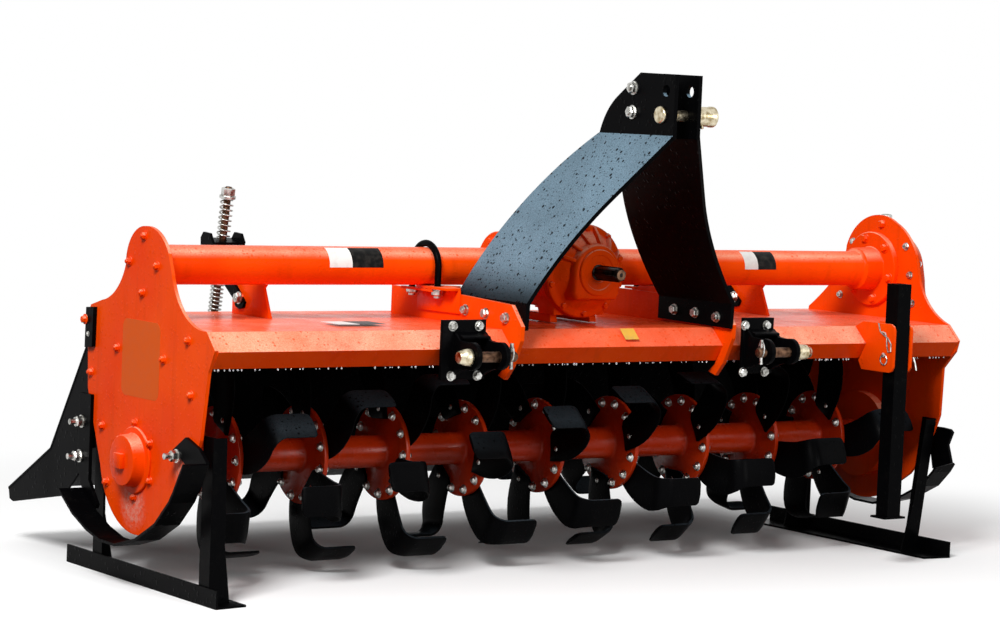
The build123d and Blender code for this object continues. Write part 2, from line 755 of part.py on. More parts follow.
# ================================================================ parking leg
with BuildPart() as parking_leg:
    with BuildSketch(top_plane(LEG_Z0)):
        with Locations((LEG_X, LEG_Y)):
            Rectangle(LEG_W, LEG_W)
            Rectangle(LEG_W - 8, LEG_W - 8, mode=Mode.SUBTRACT)
    extrude(amount=LEG_Z1 - LEG_Z0)
    with BuildSketch(top_plane(LEG_Z0)):
        with Locations((LEG_X, LEG_Y)):
            Rectangle(68, 52)
    extrude(amount=-5)
save(parking_leg.part, "parking_leg")

with BuildPart() as leg_bracket:
    for s in (-1, 1):
        with BuildSketch(end_plane(LEG_X + s * (LEG_W / 2 + 7) - 3)):
            with BuildLine():
                Polyline((-342.2, 270), (-317, 226), (-330, 205), (-440, 205), (-446, 212),
                         (-446, 318), (-440, 325), (-330, 325), (-300, 310.2), close=True)
            make_face()
        extrude(amount=6)
save(leg_bracket.part, "leg_bracket")

# ================================================================ small solids
with BuildPart() as edge_strips:
    for side in (-1, 1):
        with BuildSketch(end_plane(side * HALF_W)):
            with BuildLine():
                Polyline((204, 325), (240, 322), (242, 230), (206, 234), close=True)
            make_face()
        extrude(amount=side * 10)
save(edge_strips.part, "edge_strips")

with BuildPart() as breather:
    with BuildSketch(top_plane(578)):
        with Locations((HALF_W + 24, -16)):
            RegularPolygon(14, 6)
    extrude(amount=16)
save(breather.part, "case_breather")
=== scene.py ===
import json
import math
import bpy
import bmesh
from mathutils import Matrix, Vector


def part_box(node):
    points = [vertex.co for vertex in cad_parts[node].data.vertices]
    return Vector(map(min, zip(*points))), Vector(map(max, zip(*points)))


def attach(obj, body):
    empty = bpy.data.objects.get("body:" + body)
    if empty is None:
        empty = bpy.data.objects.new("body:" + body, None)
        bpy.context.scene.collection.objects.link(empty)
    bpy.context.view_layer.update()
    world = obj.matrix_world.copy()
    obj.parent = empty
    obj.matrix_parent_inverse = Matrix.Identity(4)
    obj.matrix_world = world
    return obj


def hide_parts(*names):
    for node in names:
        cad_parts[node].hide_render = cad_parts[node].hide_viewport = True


# Tractor-mounted rotary tiller. Blender works in metres; places and sizes below are in
# millimetres, x across the machine, y and z from the rotor's axis, -y towards the tractor.

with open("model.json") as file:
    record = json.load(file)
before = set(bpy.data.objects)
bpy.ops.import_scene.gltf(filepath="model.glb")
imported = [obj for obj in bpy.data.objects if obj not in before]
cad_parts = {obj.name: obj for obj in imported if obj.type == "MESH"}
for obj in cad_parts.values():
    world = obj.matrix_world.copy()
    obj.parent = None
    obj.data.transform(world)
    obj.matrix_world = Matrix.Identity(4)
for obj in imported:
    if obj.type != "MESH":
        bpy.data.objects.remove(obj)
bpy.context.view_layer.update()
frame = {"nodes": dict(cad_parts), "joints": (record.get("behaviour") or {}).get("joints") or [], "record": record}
joints = {j["name"]: j for j in frame["joints"]}
mounts = {m["name"]: m for m in frame["record"]["mounts"]}
slot_of = {s["node"]: s["material_slot"] for s in frame["record"]["subparts"]}
MM = 0.001
AXIS = Vector(joints["rotor_spin"]["pos_m"])
HALF_W = -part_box("side_plate_left")[0].x / MM
LEFT_FACE = -HALF_W
RIGHT_FACE = HALF_W
DECK_TOP = (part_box("gearbox_rails")[0].z - AXIS.z) / MM + 5


def at(x, y, z):
    """A place in the machine, from millimetres."""
    return Vector((x * MM, AXIS.y + y * MM, AXIS.z + z * MM))


# ================================================================ node helpers
def srgb(hex_colour):
    """An sRGB hex colour as linear RGBA."""
    out = []
    for i in (0, 2, 4):
        c = int(hex_colour[i:i + 2], 16) / 255.0
        out.append(c / 12.92 if c <= 0.04045 else ((c + 0.055) / 1.055) ** 2.4)
    return (*out, 1.0)


def join(tree, target, links):
    """Links sources to a node's inputs. A source is a socket, a node that stands for its first
    output, or a list of them."""
    for key, source in links.items():
        for one in (source if isinstance(source, list) else [source]):
            given = one.outputs[0] if isinstance(one, bpy.types.Node) else one
            tree.links.new(given, target.inputs[key])


def node(tree, kind, settings=None, links=None):
    """Adds a node, sets its properties and unlinked inputs, and links its inputs."""
    n = tree.nodes.new(kind)
    for key, value in (settings or {}).items():
        if isinstance(key, int) or (key in n.inputs and not hasattr(n, key)):
            n.inputs[key].default_value = value
        else:
            setattr(n, key, value)
    join(tree, n, links or {})
    return n


def seen_directly(tree):
    """1 for what the camera sees, also in a mirror or through glass, 0 for light on its way."""
    rays = node(tree, "ShaderNodeLightPath")
    seen = rays.outputs["Is Camera Ray"]
    for also in (rays.outputs["Is Glossy Ray"], rays.outputs["Is Transmission Ray"]):
        seen = node(tree, "ShaderNodeMath", {"operation": "MAXIMUM"}, {0: seen, 1: also})
    return seen


def finish(name, sockets):
    """A new material: its name, and the sockets that are the same all over."""
    m = bpy.data.materials.new(name)
    m.use_nodes = True
    shader = m.node_tree.nodes["Principled BSDF"]
    for key, value in sockets.items():
        shader.inputs[key].default_value = value
    return m, m.node_tree, shader


# ================================================================ finishes
SOFT = "SMOOTHSTEP"  # a spread that eases in and out


def patches(size_mm):
    """The scale of a noise, from the size of its patches: how many lie in a metre, made whole."""
    return round(1000 / size_mm)


def spread(low, high, to_low=0.0, to_high=1.0, curve="LINEAR"):
    """The settings that spread the levels from low to high over a range."""
    return {"From Min": low, "From Max": high, "To Min": to_low, "To Max": to_high,
            "interpolation_type": curve}


def mottle(tree, where, size_mm, levels, values, detail=4.0, roughness=0.5):
    """Patches of a size: noise, with its levels from low to high spread over a pair of values."""
    noise = node(tree, "ShaderNodeTexNoise", {"Scale": patches(size_mm), "Detail": detail,
                                              "Roughness": roughness}, {"Vector": where})
    return node(tree, "ShaderNodeMapRange", spread(*levels, *values), {"Value": noise})


def product(tree, shares):
    """All the shares multiplied together."""
    total = shares[0]
    for share in shares[1:]:
        total = node(tree, "ShaderNodeMath", {"operation": "MULTIPLY"}, {0: total, 1: share})
    return total


def set_stops(ramp, rows):
    """Gives a colour ramp its rows of (level, linear colour)."""
    while len(ramp.elements) < len(rows):
        ramp.elements.new(0.5)
    for stop, (level, colour) in zip(ramp.elements, rows):
        stop.position, stop.color = level, colour


def beads(tree, where, spacing_mm, share):
    """Beads of rain: 1 on a bead, 0 between. A share of the cells has one, each of its own size."""
    grid = node(tree, "ShaderNodeTexVoronoi", {"Scale": 1000 / spacing_mm}, {"Vector": where})
    lot = node(tree, "ShaderNodeSeparateColor", links={0: grid.outputs["Color"]})
    radius = node(tree, "ShaderNodeMapRange", spread(1.0 - share, 1.0, 0.0, 0.42),
                  {"Value": lot.outputs["Red"]})
    inside = node(tree, "ShaderNodeMath", {"operation": "SUBTRACT"},
                  {0: radius, 1: grid.outputs["Distance"]})
    return node(tree, "ShaderNodeMapRange", spread(0.0, 0.12, curve=SOFT), {"Value": inside})


def facing_up(tree, place, low, high):
    """1 where the surface faces up towards the sky, 0 on walls and undersides: the mask of the painted sky
    reflection.
    """
    normal = node(tree, "ShaderNodeSeparateXYZ", links={0: place.outputs["Normal"]})
    return node(tree, "ShaderNodeMapRange", spread(low, high, curve=SOFT),
                {"Value": normal.outputs["Z"]})


def wet_bumps(tree, where, edge_mm, grain, wet, water):
    """A rounded edge, then the grain of the coat, then the beads that stand on it.
    grain is (size in mm, detail, strength), water is (strength, height of a bead in mm)."""
    size_mm, detail, strength = grain
    coat = node(tree, "ShaderNodeTexNoise", {"Scale": patches(size_mm), "Detail": detail},
                {"Vector": where})
    edge = node(tree, "ShaderNodeBevel", {"samples": 3, "Radius": edge_mm * MM})
    ripple = node(tree, "ShaderNodeBump", {"Strength": strength, "Distance": 0.6 * MM},
                  {"Height": coat, "Normal": edge})
    return node(tree, "ShaderNodeBump", {"Strength": water[0], "Distance": water[1] * MM},
                {"Height": wet, "Normal": ripple})


# how much painted sky reflection a face carries, from a wall to level: most on the slopes
SKY_SHEEN_BY_SLOPE = ((0.0, 0.0), (0.28, 0.0), (0.45, 0.1), (0.62, 0.34), (0.8, 0.54), (1.0, 0.2))


def orange_enamel(name, edge_mm=1.5, dusty=0.0, scuffs=(), sky_sheen=True, mast_reflection_mm=0.0):
    """Two-part orange enamel sprayed over primer on steel, wet from rain.
    Sprayed thick, so it has a faint orange peel and a soft gloss; the colour drifts a little where
    the coat is thin. What faces up is paled by a painted sky reflection in its film of rain and
    fine drops, most on the slopes, with bigger beads showing the enamel through as darker dots.
    scuffs are rows of (place, radius in mm) where grit has dulled and whitened it; within the given
    distance in mm of the middle, under the mast, the painted sheen is thinned, a painted dark
    reflection of the mast."""
    m, t, shader = finish(name, {"Specular IOR Level": 0.03 if sky_sheen else 0.2})
    place = node(t, "ShaderNodeTexCoord")
    where = place.outputs["Object"]
    drift = node(t, "ShaderNodeTexNoise", {"Scale": patches(250), "Detail": 3.0, "Roughness": 0.55},
                 {"Vector": where})
    coat = node(t, "ShaderNodeValToRGB", links={0: drift})
    thin, thick = ("EE3E01", "F85004") if sky_sheen else ("C8300A", "D83C08")
    set_stops(coat.color_ramp, ((0.3, srgb(thin)), (0.72, srgb(thick))))
    # grime washed down by the rain, in streaks about 30 mm wide and 400 mm long
    streaks = node(t, "ShaderNodeMapping", {"Scale": (patches(30), patches(30), 1000 / 400)},
                   {"Vector": where})
    dirt = mottle(t, streaks, 1000, (0.56, 0.8), (0.0, 0.25 + dusty))
    colour = node(t, "ShaderNodeMix", {"data_type": "RGBA", 7: srgb("A02C04")}, {0: dirt, 6: coat})
    wet = beads(t, where, 9.0, 0.7)
    # painted sky reflection: what faces up is paled, most on the slopes, mottled by mist and drops
    if sky_sheen:
        share = node(t, "ShaderNodeValToRGB", links={0: facing_up(t, place, 0.0, 1.0)})
        set_stops(share.color_ramp, [(up, (level, level, level, 1)) for up, level in SKY_SHEEN_BY_SLOPE])
        shares = [share,
                  mottle(t, where, 91, (0.3, 0.7), (0.55, 1.15), 4.0, 0.6),
                  # fine mist, its drops drawn 3 mm across so that they show
                  mottle(t, where, 3.03, (0.35, 0.65), (0.6, 1.1), 2.0),
                  node(t, "ShaderNodeMath", {"operation": "MULTIPLY_ADD", 1: -0.65, 2: 1.0},
                       {0: wet})]
        # near the middle the painted sky sheen is thinned: a painted dark reflection of the mast
        if mast_reflection_mm:
            across = node(t, "ShaderNodeSeparateXYZ", links={0: where})
            aside = node(t, "ShaderNodeMath", {"operation": "ABSOLUTE"}, {0: across.outputs["X"]})
            reach = spread(mast_reflection_mm * 0.55 * MM, mast_reflection_mm * MM, 0.3, curve=SOFT)
            shares.append(node(t, "ShaderNodeMapRange", reach, {"Value": aside}))
        # the pale colour of the painted sky reflection
        colour = node(t, "ShaderNodeMix", {"data_type": "RGBA", 7: srgb("FFD4B4")},
                      {0: product(t, shares), 6: colour.outputs[2]})
    for centre, radius in scuffs:
        away = node(t, "ShaderNodeVectorMath", {"operation": "DISTANCE", 1: centre}, {0: where})
        near = node(t, "ShaderNodeMapRange", spread(radius * MM, radius * 0.3 * MM, curve=SOFT),
                    {"Value": away.outputs["Value"]})
        worn = mottle(t, where, 11.1, (0.4, 0.7), (0.0, 0.7), 8.0, 0.8)
        colour = node(t, "ShaderNodeMix", {"data_type": "RGBA", 7: srgb("D8C4B4")},
                      {0: product(t, [near, worn]), 6: colour.outputs[2]})
    rough = mottle(t, where, 71, (0.3, 0.75), (0.2, 0.36), 5.0)
    # orange peel: ripples about 5 mm across
    bumps = wet_bumps(t, where, edge_mm, (5, 1.0, 0.10), wet, (0.5, 1.2))
    join(t, shader, {"Base Color": colour.outputs[2], "Roughness": rough, "Normal": bumps})
    return m


def black_enamel(name, base="040405", sky_sheen=None, low=0.25, high=0.6, spacing_mm=13.0, edge_mm=1.5,
                 shaded_foot=None):
    """Black chassis enamel on hot-rolled steel, wet from rain.
    Near black with a soft gloss. Where a sheen colour is given, the faces that look at the sky are
    turned blue-grey by a painted sky reflection in a mist of fine drops, with the bigger beads
    showing as dark dots. The pair of heights in mm given for the foot is where that painted sheen
    thins out to almost nothing towards the bottom: painted shade near the foot."""
    m, t, shader = finish(name, {"Specular IOR Level": 0.02})
    place = node(t, "ShaderNodeTexCoord")
    where = place.outputs["Object"]
    patchy = node(t, "ShaderNodeTexNoise", {"Scale": patches(143), "Detail": 5.0, "Roughness": 0.6},
                  {"Vector": where})
    rough = node(t, "ShaderNodeMapRange", spread(0.3, 0.7, 0.24, 0.42), {"Value": patchy})
    thick = node(t, "ShaderNodeMapRange", spread(0.25, 0.7, 0.7, 1.0), {"Value": patchy})
    big = beads(t, where, spacing_mm, 0.8)
    # painted sky reflection: the faces that look up take the given blue-grey
    if sky_sheen:
        small = beads(t, where, spacing_mm * 0.45, 0.6)
        shares = [facing_up(t, place, low, high), thick,
                  # fine mist, its drops drawn over 2 mm across so that they show
                  mottle(t, where, 2.38, (0.35, 0.62), (0.6, 1.0), 2.0)]
        shares += [node(t, "ShaderNodeMath", {"operation": "MULTIPLY_ADD", 1: -deep, 2: 1.0},
                        {0: dots})
                   for dots, deep in ((big, 0.92), (small, 0.85))]
        # painted shade: the painted sheen fades away towards the bottom
        if shaded_foot:
            height = node(t, "ShaderNodeSeparateXYZ", links={0: where})
            foot = spread(shaded_foot[0] * MM, shaded_foot[1] * MM, 0.08, curve=SOFT)
            shares.append(node(t, "ShaderNodeMapRange", foot, {"Value": height.outputs["Z"]}))
        share, over = product(t, shares), sky_sheen
    else:
        share, over = mottle(t, where, 26.3, (0.55, 0.8), (0.0, 0.6), 6.0, 0.65), "121110"
    colour = node(t, "ShaderNodeMix", {"data_type": "RGBA", 6: srgb(base), 7: srgb(over)},
                  {0: share})
    # mill scale under the coat: pits about 6 mm across
    bumps = wet_bumps(t, where, edge_mm, (6.25, 3.0, 0.12), big, (0.6, 1.0))
    join(t, shader, {"Base Color": colour.outputs[2], "Roughness": rough, "Normal": bumps})
    return m


def plated(name, light, dark, rough_low, rough_high):
    """Electroplated steel hardware: a thin bright coat over a rolled thread or a turned bar.
    The plating clouds as it is handled, so colour and gloss drift over about 10 mm."""
    m, t, shader = finish(name, {"Metallic": 1.0})
    where = node(t, "ShaderNodeTexCoord").outputs["Object"]
    cloud = node(t, "ShaderNodeTexNoise", {"Scale": patches(11.1), "Detail": 4.0},
                 {"Vector": where})
    colour = node(t, "ShaderNodeValToRGB", links={0: cloud})
    set_stops(colour.color_ramp, ((0.32, srgb(dark)), (0.62, srgb(light))))
    rough = node(t, "ShaderNodeMapRange", spread(0.3, 0.7, rough_low, rough_high), {"Value": cloud})
    # tool marks, drawn 1.4 mm apart so that they show
    fine = node(t, "ShaderNodeTexNoise", {"Scale": patches(1.429), "Detail": 1.0},
                {"Vector": where})
    bump = node(t, "ShaderNodeBump", {"Strength": 0.15, "Distance": 0.2 * MM}, {"Height": fine})
    join(t, shader, {"Base Color": colour, "Roughness": rough, "Normal": bump})
    return m


def vinyl(name, hex_colour, dusty=0.3):
    """Printed vinyl label, left blank: smooth, a bit softer than the paint, with a little dust."""
    m, t, shader = finish(name, {"Roughness": 0.35, "Specular IOR Level": 0.06})
    where = node(t, "ShaderNodeTexCoord").outputs["Object"]
    dust = mottle(t, where, 16.7, (0.45, 0.8), (0.0, dusty))
    colour = node(t, "ShaderNodeMix", {"data_type": "RGBA", 6: srgb(hex_colour), 7: srgb("8A8278")},
                  {0: dust})
    join(t, shader, {"Base Color": colour.outputs[2]})
    return m


# the orange enamels with a rain film carry a painted sky reflection on what faces up; the rotor's has none
ENAMEL = orange_enamel("orange enamel with painted sky sheen")
PLATE_ENAMEL = orange_enamel("left plate orange enamel with painted sky sheen", 2.0, 0.0,
                             ((at(-HALF_W, 4, -100), 70), (at(-HALF_W, -225, 12), 60)))
# the deck's painted sky sheen is thinned in the middle, a painted dark reflection of the mast
DECK_ENAMEL = orange_enamel("deck orange enamel with painted sky sheen", 2.0, mast_reflection_mm=520)
ROTOR_ENAMEL = orange_enamel("orange enamel of the rotor", 1.0, 0.2, sky_sheen=False)
BLACK = black_enamel("black chassis enamel")
# the mast legs' up-facing faces carry a painted blue-grey sky reflection, fading at the foot as painted shade
MAST_BLACK = black_enamel("black mast enamel with painted sky sheen", sky_sheen="7A95A6", shaded_foot=(652, 745))
# the blades' up-facing faces carry a painted blue-grey sky reflection
TINE = black_enamel("black dipped boron steel", "050506", "3A4248", 0.4, 0.95, 9.0, 1.0)
ZINC = plated("bright zinc plated steel", "D2D2CE", "807E78", 0.22, 0.45)
YELLOW_ZINC = plated("yellow passivated zinc", "DDD3B8", "9C8A66", 0.2, 0.42)
# dark brown steel: greased on the spring rods and the shaft's end; on the lower hitch pins it is painted shade
# between the ears, over their yellow zinc
GREASED_STEEL_AND_PIN_SHADE = plated("greased rod steel, and painted shade on the hitch pins", "7A5C48", "3E2A20", 0.35, 0.6)
STEEL = plated("oiled machined steel", "2A2422", "0E0B0A", 0.25, 0.45)
WHITE_LABEL = vinyl("blank white vinyl label", "E6E4E0", 0.25)
BLACK_LABEL = vinyl("blank black vinyl label", "101010", 0.12)
YELLOW_LABEL = vinyl("blank yellow vinyl label", "E8B048")
PANEL = vinyl("blank orange vinyl panel", "D85400", 0.06)
# clear water in drops of a few millimetres, which catch the sky
WATER = finish("rain water", {"Base Color": srgb("F4F6F8"), "Roughness": 0.05, "IOR": 1.33,
                              "Transmission Weight": 0.6})[0]

FINISHES = {"orange_paint": ENAMEL, "black_paint": BLACK, "tine_paint": TINE, "zinc": ZINC,
            "yellow_zinc": YELLOW_ZINC, "bare_steel": STEEL}
for name, obj in frame["nodes"].items():
    obj.data.materials.clear()
    obj.data.materials.append(FINISHES[slot_of[name]])
frame["nodes"]["side_plate_left"].data.materials[0] = PLATE_ENAMEL
frame["nodes"]["deck"].data.materials[0] = DECK_ENAMEL
for side in ("left", "right"):
    frame["nodes"]["mast_leg_" + side].data.materials[0] = MAST_BLACK


# ================================================================ mesh helpers
def around(count, first=0.0):
    """The angles of places spread evenly round a circle, from a first angle in degrees."""
    return [math.radians(first + 360 / count * k) for k in range(count)]


def link(obj):
    bpy.context.scene.collection.objects.link(obj)
    return obj


def shade(mesh, angle=35.0):
    """Smooth faces, with a crease wherever two faces meet more sharply than the angle."""
    bm = bmesh.new()
    bm.from_mesh(mesh)
    limit = math.radians(angle)
    for f in bm.faces:
        f.smooth = True
    for e in bm.edges:
        e.smooth = len(e.link_faces) == 2 and e.calc_face_angle(0.0) < limit
    bm.to_mesh(mesh)
    bm.free()


class Shape:
    """The faces of one piece, collected from simple closed forms; places in millimetres."""

    def __init__(self):
        self.bm = bmesh.new()

    def rings(self, rows):
        """Joins rows of points, each a ring, and closes both ends."""
        made = [[self.bm.verts.new(p) for p in row] for row in rows]
        n = len(made[0])
        for a, b in zip(made, made[1:]):
            for i in range(n):
                self.bm.faces.new((a[i], a[(i + 1) % n], b[(i + 1) % n], b[i]))
        self.bm.faces.new(made[0][::-1])
        self.bm.faces.new(made[-1])

    def turned(self, profile, centre, axis, sides=48, turn=0.0):
        """Turned on a lathe: rows of (distance along the axis, radius)."""
        axis = Vector(axis).normalized()
        u = axis.orthogonal().normalized()
        v = axis.cross(u)
        ways = [u * math.cos(a + turn) + v * math.sin(a + turn) for a in around(sides)]
        self.rings([[centre + (axis * along + way * radius) * MM for way in ways]
                    for along, radius in profile])

    def plate(self, outline, x, thick):
        """A plate across the machine: outline of (y, z), from x to x + thick."""
        self.rings([[at(x, y, z) for y, z in outline], [at(x + thick, y, z) for y, z in outline]])

    def slab(self, outline, offset):
        """Any flat outline of places, pushed along an offset in mm."""
        push = Vector(offset) * MM
        self.rings([list(outline), [p + push for p in outline]])

    def bar(self, path, radius, sides=12):
        """Round bar along a path of places, carried without twist."""
        rows, side = [], None
        for i, p in enumerate(path):
            way = (path[min(i + 1, len(path) - 1)] - path[max(i - 1, 0)]).normalized()
            side = (side - way * side.dot(way) if side else way.orthogonal()).normalized()
            over = way.cross(side)
            rows.append([p + (side * math.cos(a) + over * math.sin(a)) * radius * MM
                         for a in around(sides)])
        self.rings(rows)

    def piece(self, name, material, bevel=0.0, angle=35.0, over=25.0):
        """The finished piece: faces outwards, edges rounded by `bevel` mm, ready to ride."""
        bmesh.ops.remove_doubles(self.bm, verts=self.bm.verts, dist=1e-6)
        bmesh.ops.recalc_face_normals(self.bm, faces=self.bm.faces)
        if bevel:
            sharp = [e for e in self.bm.edges
                     if len(e.link_faces) == 2 and e.calc_face_angle(0.0) > math.radians(over)]
            bmesh.ops.bevel(self.bm, geom=sharp, offset=bevel * MM, segments=2, profile=0.5,
                            affect="EDGES", clamp_overlap=True)
        mesh = bpy.data.meshes.new(name)
        self.bm.to_mesh(mesh)
        self.bm.free()
        mesh.materials.append(material)
        shade(mesh, angle)
        return link(bpy.data.objects.new(name, mesh))

    def add(self, name, slot, *replaced, body="frame", material=None, bevel=0.0, angle=35.0,
            over=25.0):
        """Puts the finished piece on its body, in the slot's finish unless another is given."""
        made = self.piece(name, material or FINISHES[slot], bevel, angle, over)
        return place_on(made, body, slot, *replaced)


def place_on(obj, body, slot, *replaced):
    """Rides on a body and stands for the CAD nodes named; slot is not used."""
    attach(obj, body)
    if replaced:
        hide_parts(*replaced)
    return obj


def arc(start, through, end, steps=10):
    """Points on the arc from start to end by way of a point, without the start."""
    (x1, y1), (x2, y2), (x3, y3) = start, through, end
    d = 2 * (x1 * (y2 - y3) + x2 * (y3 - y1) + x3 * (y1 - y2))
    s1, s2, s3 = x1 * x1 + y1 * y1, x2 * x2 + y2 * y2, x3 * x3 + y3 * y3
    cx = (s1 * (y2 - y3) + s2 * (y3 - y1) + s3 * (y1 - y2)) / d
    cy = (s1 * (x3 - x2) + s2 * (x1 - x3) + s3 * (x2 - x1)) / d
    a1, a2, a3 = (math.atan2(y - cy, x - cx) for x, y in (start, through, end))
    sweep, part = (a3 - a1) % (2 * math.pi), (a2 - a1) % (2 * math.pi)
    if part > sweep:
        sweep -= 2 * math.pi
    r = math.hypot(x1 - cx, y1 - cy)
    return [(cx + r * math.cos(a1 + sweep * k / steps), cy + r * math.sin(a1 + sweep * k / steps))
            for k in range(1, steps + 1)]


def outline_of(start, rows):
    """Outline from a start and rows of (end, point on the arc or None)."""
    points = [start]
    for end, through in rows:
        points += arc(points[-1], through, end) if through else [end]
    return points[:-1]


# ================================================================ geometry node trees
def new_tree(name, sockets):
    """A tree with named inputs: a whole number, a measure, or None for an object.
    Returns it with its group input's outputs, by name."""
    t = bpy.data.node_groups.new(name, "GeometryNodeTree")
    t.interface.new_socket("Geometry", in_out="INPUT", socket_type="NodeSocketGeometry")
    for label, value in sockets.items():
        kind = {int: "Int", float: "Float", None: "Object"}[value and type(value)]
        s = t.interface.new_socket(label, in_out="INPUT", socket_type="NodeSocket" + kind)
        if value:
            s.default_value = value
    t.interface.new_socket("Finish", in_out="INPUT", socket_type="NodeSocketMaterial")
    t.interface.new_socket("Geometry", in_out="OUTPUT", socket_type="NodeSocketGeometry")
    return t, node(t, "NodeGroupInput").outputs


def close_tree(t, given, geometry):
    """Ends a tree: real faces, one finish."""
    real = node(t, "GeometryNodeRealizeInstances", links={"Geometry": geometry})
    done = node(t, "GeometryNodeSetMaterial", links={"Geometry": real, "Material": given["Finish"]})
    node(t, "NodeGroupOutput", links={"Geometry": done})


def grow(name, seed_mesh, tree, values, angle=35.0):
    """Runs a tree on a seed mesh and returns the result as a plain mesh object."""
    seed = link(bpy.data.objects.new(name + "_seed", seed_mesh))
    modifier = seed.modifiers.new("tree", "NODES")
    modifier.node_group = tree
    for item in tree.interface.items_tree:
        if item.item_type == "SOCKET" and item.in_out == "INPUT" and item.name in values:
            modifier[item.identifier] = values[item.name]
    graph = bpy.context.evaluated_depsgraph_get()
    mesh = bpy.data.meshes.new_from_object(seed.evaluated_get(graph))
    seed.modifiers.remove(modifier)
    bpy.data.objects.remove(seed)
    mesh.name = name
    shade(mesh, angle)
    return link(bpy.data.objects.new(name, mesh))


def spots(rows, way=(0, 0, 1)):
    """Seed mesh of loose points. Rows are places, (place, way) or (place, way, turn in degrees)."""
    mesh = bpy.data.meshes.new("spots")
    full = [(r, way, 0.0) if isinstance(r, Vector) else (*r, 0.0)[:3] for r in rows]
    mesh.from_pydata([row[0] for row in full], [], [])
    mesh.attributes.new("way", "FLOAT_VECTOR", "POINT")
    mesh.attributes.new("turn", "FLOAT", "POINT")
    for i, (_, towards, turn) in enumerate(full):
        mesh.attributes["way"].data[i].vector = Vector(towards).normalized()
        mesh.attributes["turn"].data[i].value = math.radians(turn)
    return mesh


ORIGIN = [Vector((0, 0, 0))]


def aligned(t):
    """Rotation that stands an instance's Z along the point's way."""
    way = node(t, "GeometryNodeInputNamedAttribute", {"data_type": "FLOAT_VECTOR", "Name": "way"})
    return node(t, "FunctionNodeAlignRotationToVector", {"axis": "Z"}, {"Vector": way})


def raised(t, geometry, height):
    """A geometry moved up its own Z."""
    lift = node(t, "ShaderNodeCombineXYZ", links={"Z": height})
    return node(t, "GeometryNodeTransform", links={"Geometry": geometry, "Translation": lift})


def hex_tree():
    """A hex head or nut on a washer, with a stub of thread, on every point."""
    t, g = new_tree("hex fastener", {
        "Across Flats": 0.018, "Head Height": 0.01, "Washer Radius": 0.014,
        "Washer Thickness": 0.002, "Stub Radius": 0.005, "Stub Length": 0.004, "Seed": 7})
    corner = node(t, "ShaderNodeMath", {"operation": "DIVIDE", 1: math.sqrt(3)},
                  {0: g["Across Flats"]})
    neck, low, rest = (node(t, "ShaderNodeMath", {"operation": "MULTIPLY", 1: share}, {0: whole})
                       for share, whole in ((0.84, corner), (0.78, g["Head Height"]),
                                            (0.22, g["Head Height"])))
    body, top, stub, washer = (
        node(t, "GeometryNodeMeshCone", {"Vertices": sides},
             {"Radius Top": upper, "Radius Bottom": lower, "Depth": depth})
        for sides, upper, lower, depth in (
            (6, corner, corner, low), (6, neck, corner, rest),
            (12, g["Stub Radius"], g["Stub Radius"], g["Stub Length"]),
            (20, g["Washer Radius"], g["Washer Radius"], g["Washer Thickness"])))
    head = node(t, "GeometryNodeJoinGeometry",
                links={0: [body, raised(t, top, low), raised(t, stub, g["Head Height"])]})
    turn = node(t, "FunctionNodeRandomValue", {3: math.pi / 3}, {8: g["Seed"]})
    spin = node(t, "ShaderNodeCombineXYZ", links={"Z": turn.outputs[1]})
    to_turn = node(t, "FunctionNodeEulerToRotation", links={0: spin})
    on_way = node(t, "FunctionNodeRotateRotation", {"rotation_space": "LOCAL"},
                  {0: aligned(t), 1: to_turn})
    heads = node(t, "GeometryNodeInstanceOnPoints", links={
        "Points": g["Geometry"], "Instance": raised(t, head, g["Washer Thickness"]),
        "Rotation": on_way})
    washers = node(t, "GeometryNodeInstanceOnPoints", links={
        "Points": g["Geometry"], "Instance": washer, "Rotation": aligned(t)})
    close_tree(t, g, node(t, "GeometryNodeJoinGeometry", links={0: [heads, washers]}))
    return t


def dome_tree():
    """A flange-headed bolt with a domed head on every point."""
    t, g = new_tree("domed flange bolt", {"Head Radius": 0.0085, "Head Height": 0.008,
                                          "Flange Radius": 0.012, "Flange Thickness": 0.003})
    head = node(t, "GeometryNodeMeshUVSphere", {"Segments": 12, "Rings": 8},
                {"Radius": g["Head Radius"]})
    share = node(t, "ShaderNodeMath", {"operation": "DIVIDE"},
                 {0: g["Head Height"], 1: g["Head Radius"]})
    squat = node(t, "ShaderNodeCombineXYZ", {"X": 1.0, "Y": 1.0}, {"Z": share})
    lift = node(t, "ShaderNodeCombineXYZ", links={"Z": g["Flange Thickness"]})
    domed = node(t, "GeometryNodeTransform", links={"Geometry": head, "Translation": lift,
                 "Scale": squat})
    flange = node(t, "GeometryNodeMeshCone", {"Vertices": 16}, {"Radius Top": g["Head Radius"],
                  "Radius Bottom": g["Flange Radius"], "Depth": g["Flange Thickness"]})
    bolt = node(t, "GeometryNodeJoinGeometry", links={0: [domed, flange]})
    all_of_them = node(t, "GeometryNodeInstanceOnPoints", links={"Points": g["Geometry"],
                       "Instance": bolt, "Rotation": aligned(t)})
    close_tree(t, g, all_of_them)
    return t


def blade_tree():
    """A forged blade on every point, turned round the rotor by the point's own angle."""
    t, g = new_tree("blades on the rotor", {"Blade": None})
    blank = node(t, "GeometryNodeObjectInfo", links={"Object": g["Blade"]})
    turn = node(t, "GeometryNodeInputNamedAttribute", {"data_type": "FLOAT", "Name": "turn"})
    euler = node(t, "ShaderNodeCombineXYZ", links={"X": turn})
    rotation = node(t, "FunctionNodeEulerToRotation", links={0: euler})
    blades = node(t, "GeometryNodeInstanceOnPoints", links={"Points": g["Geometry"],
                  "Instance": blank.outputs["Geometry"], "Rotation": rotation})
    close_tree(t, g, blades)
    return t


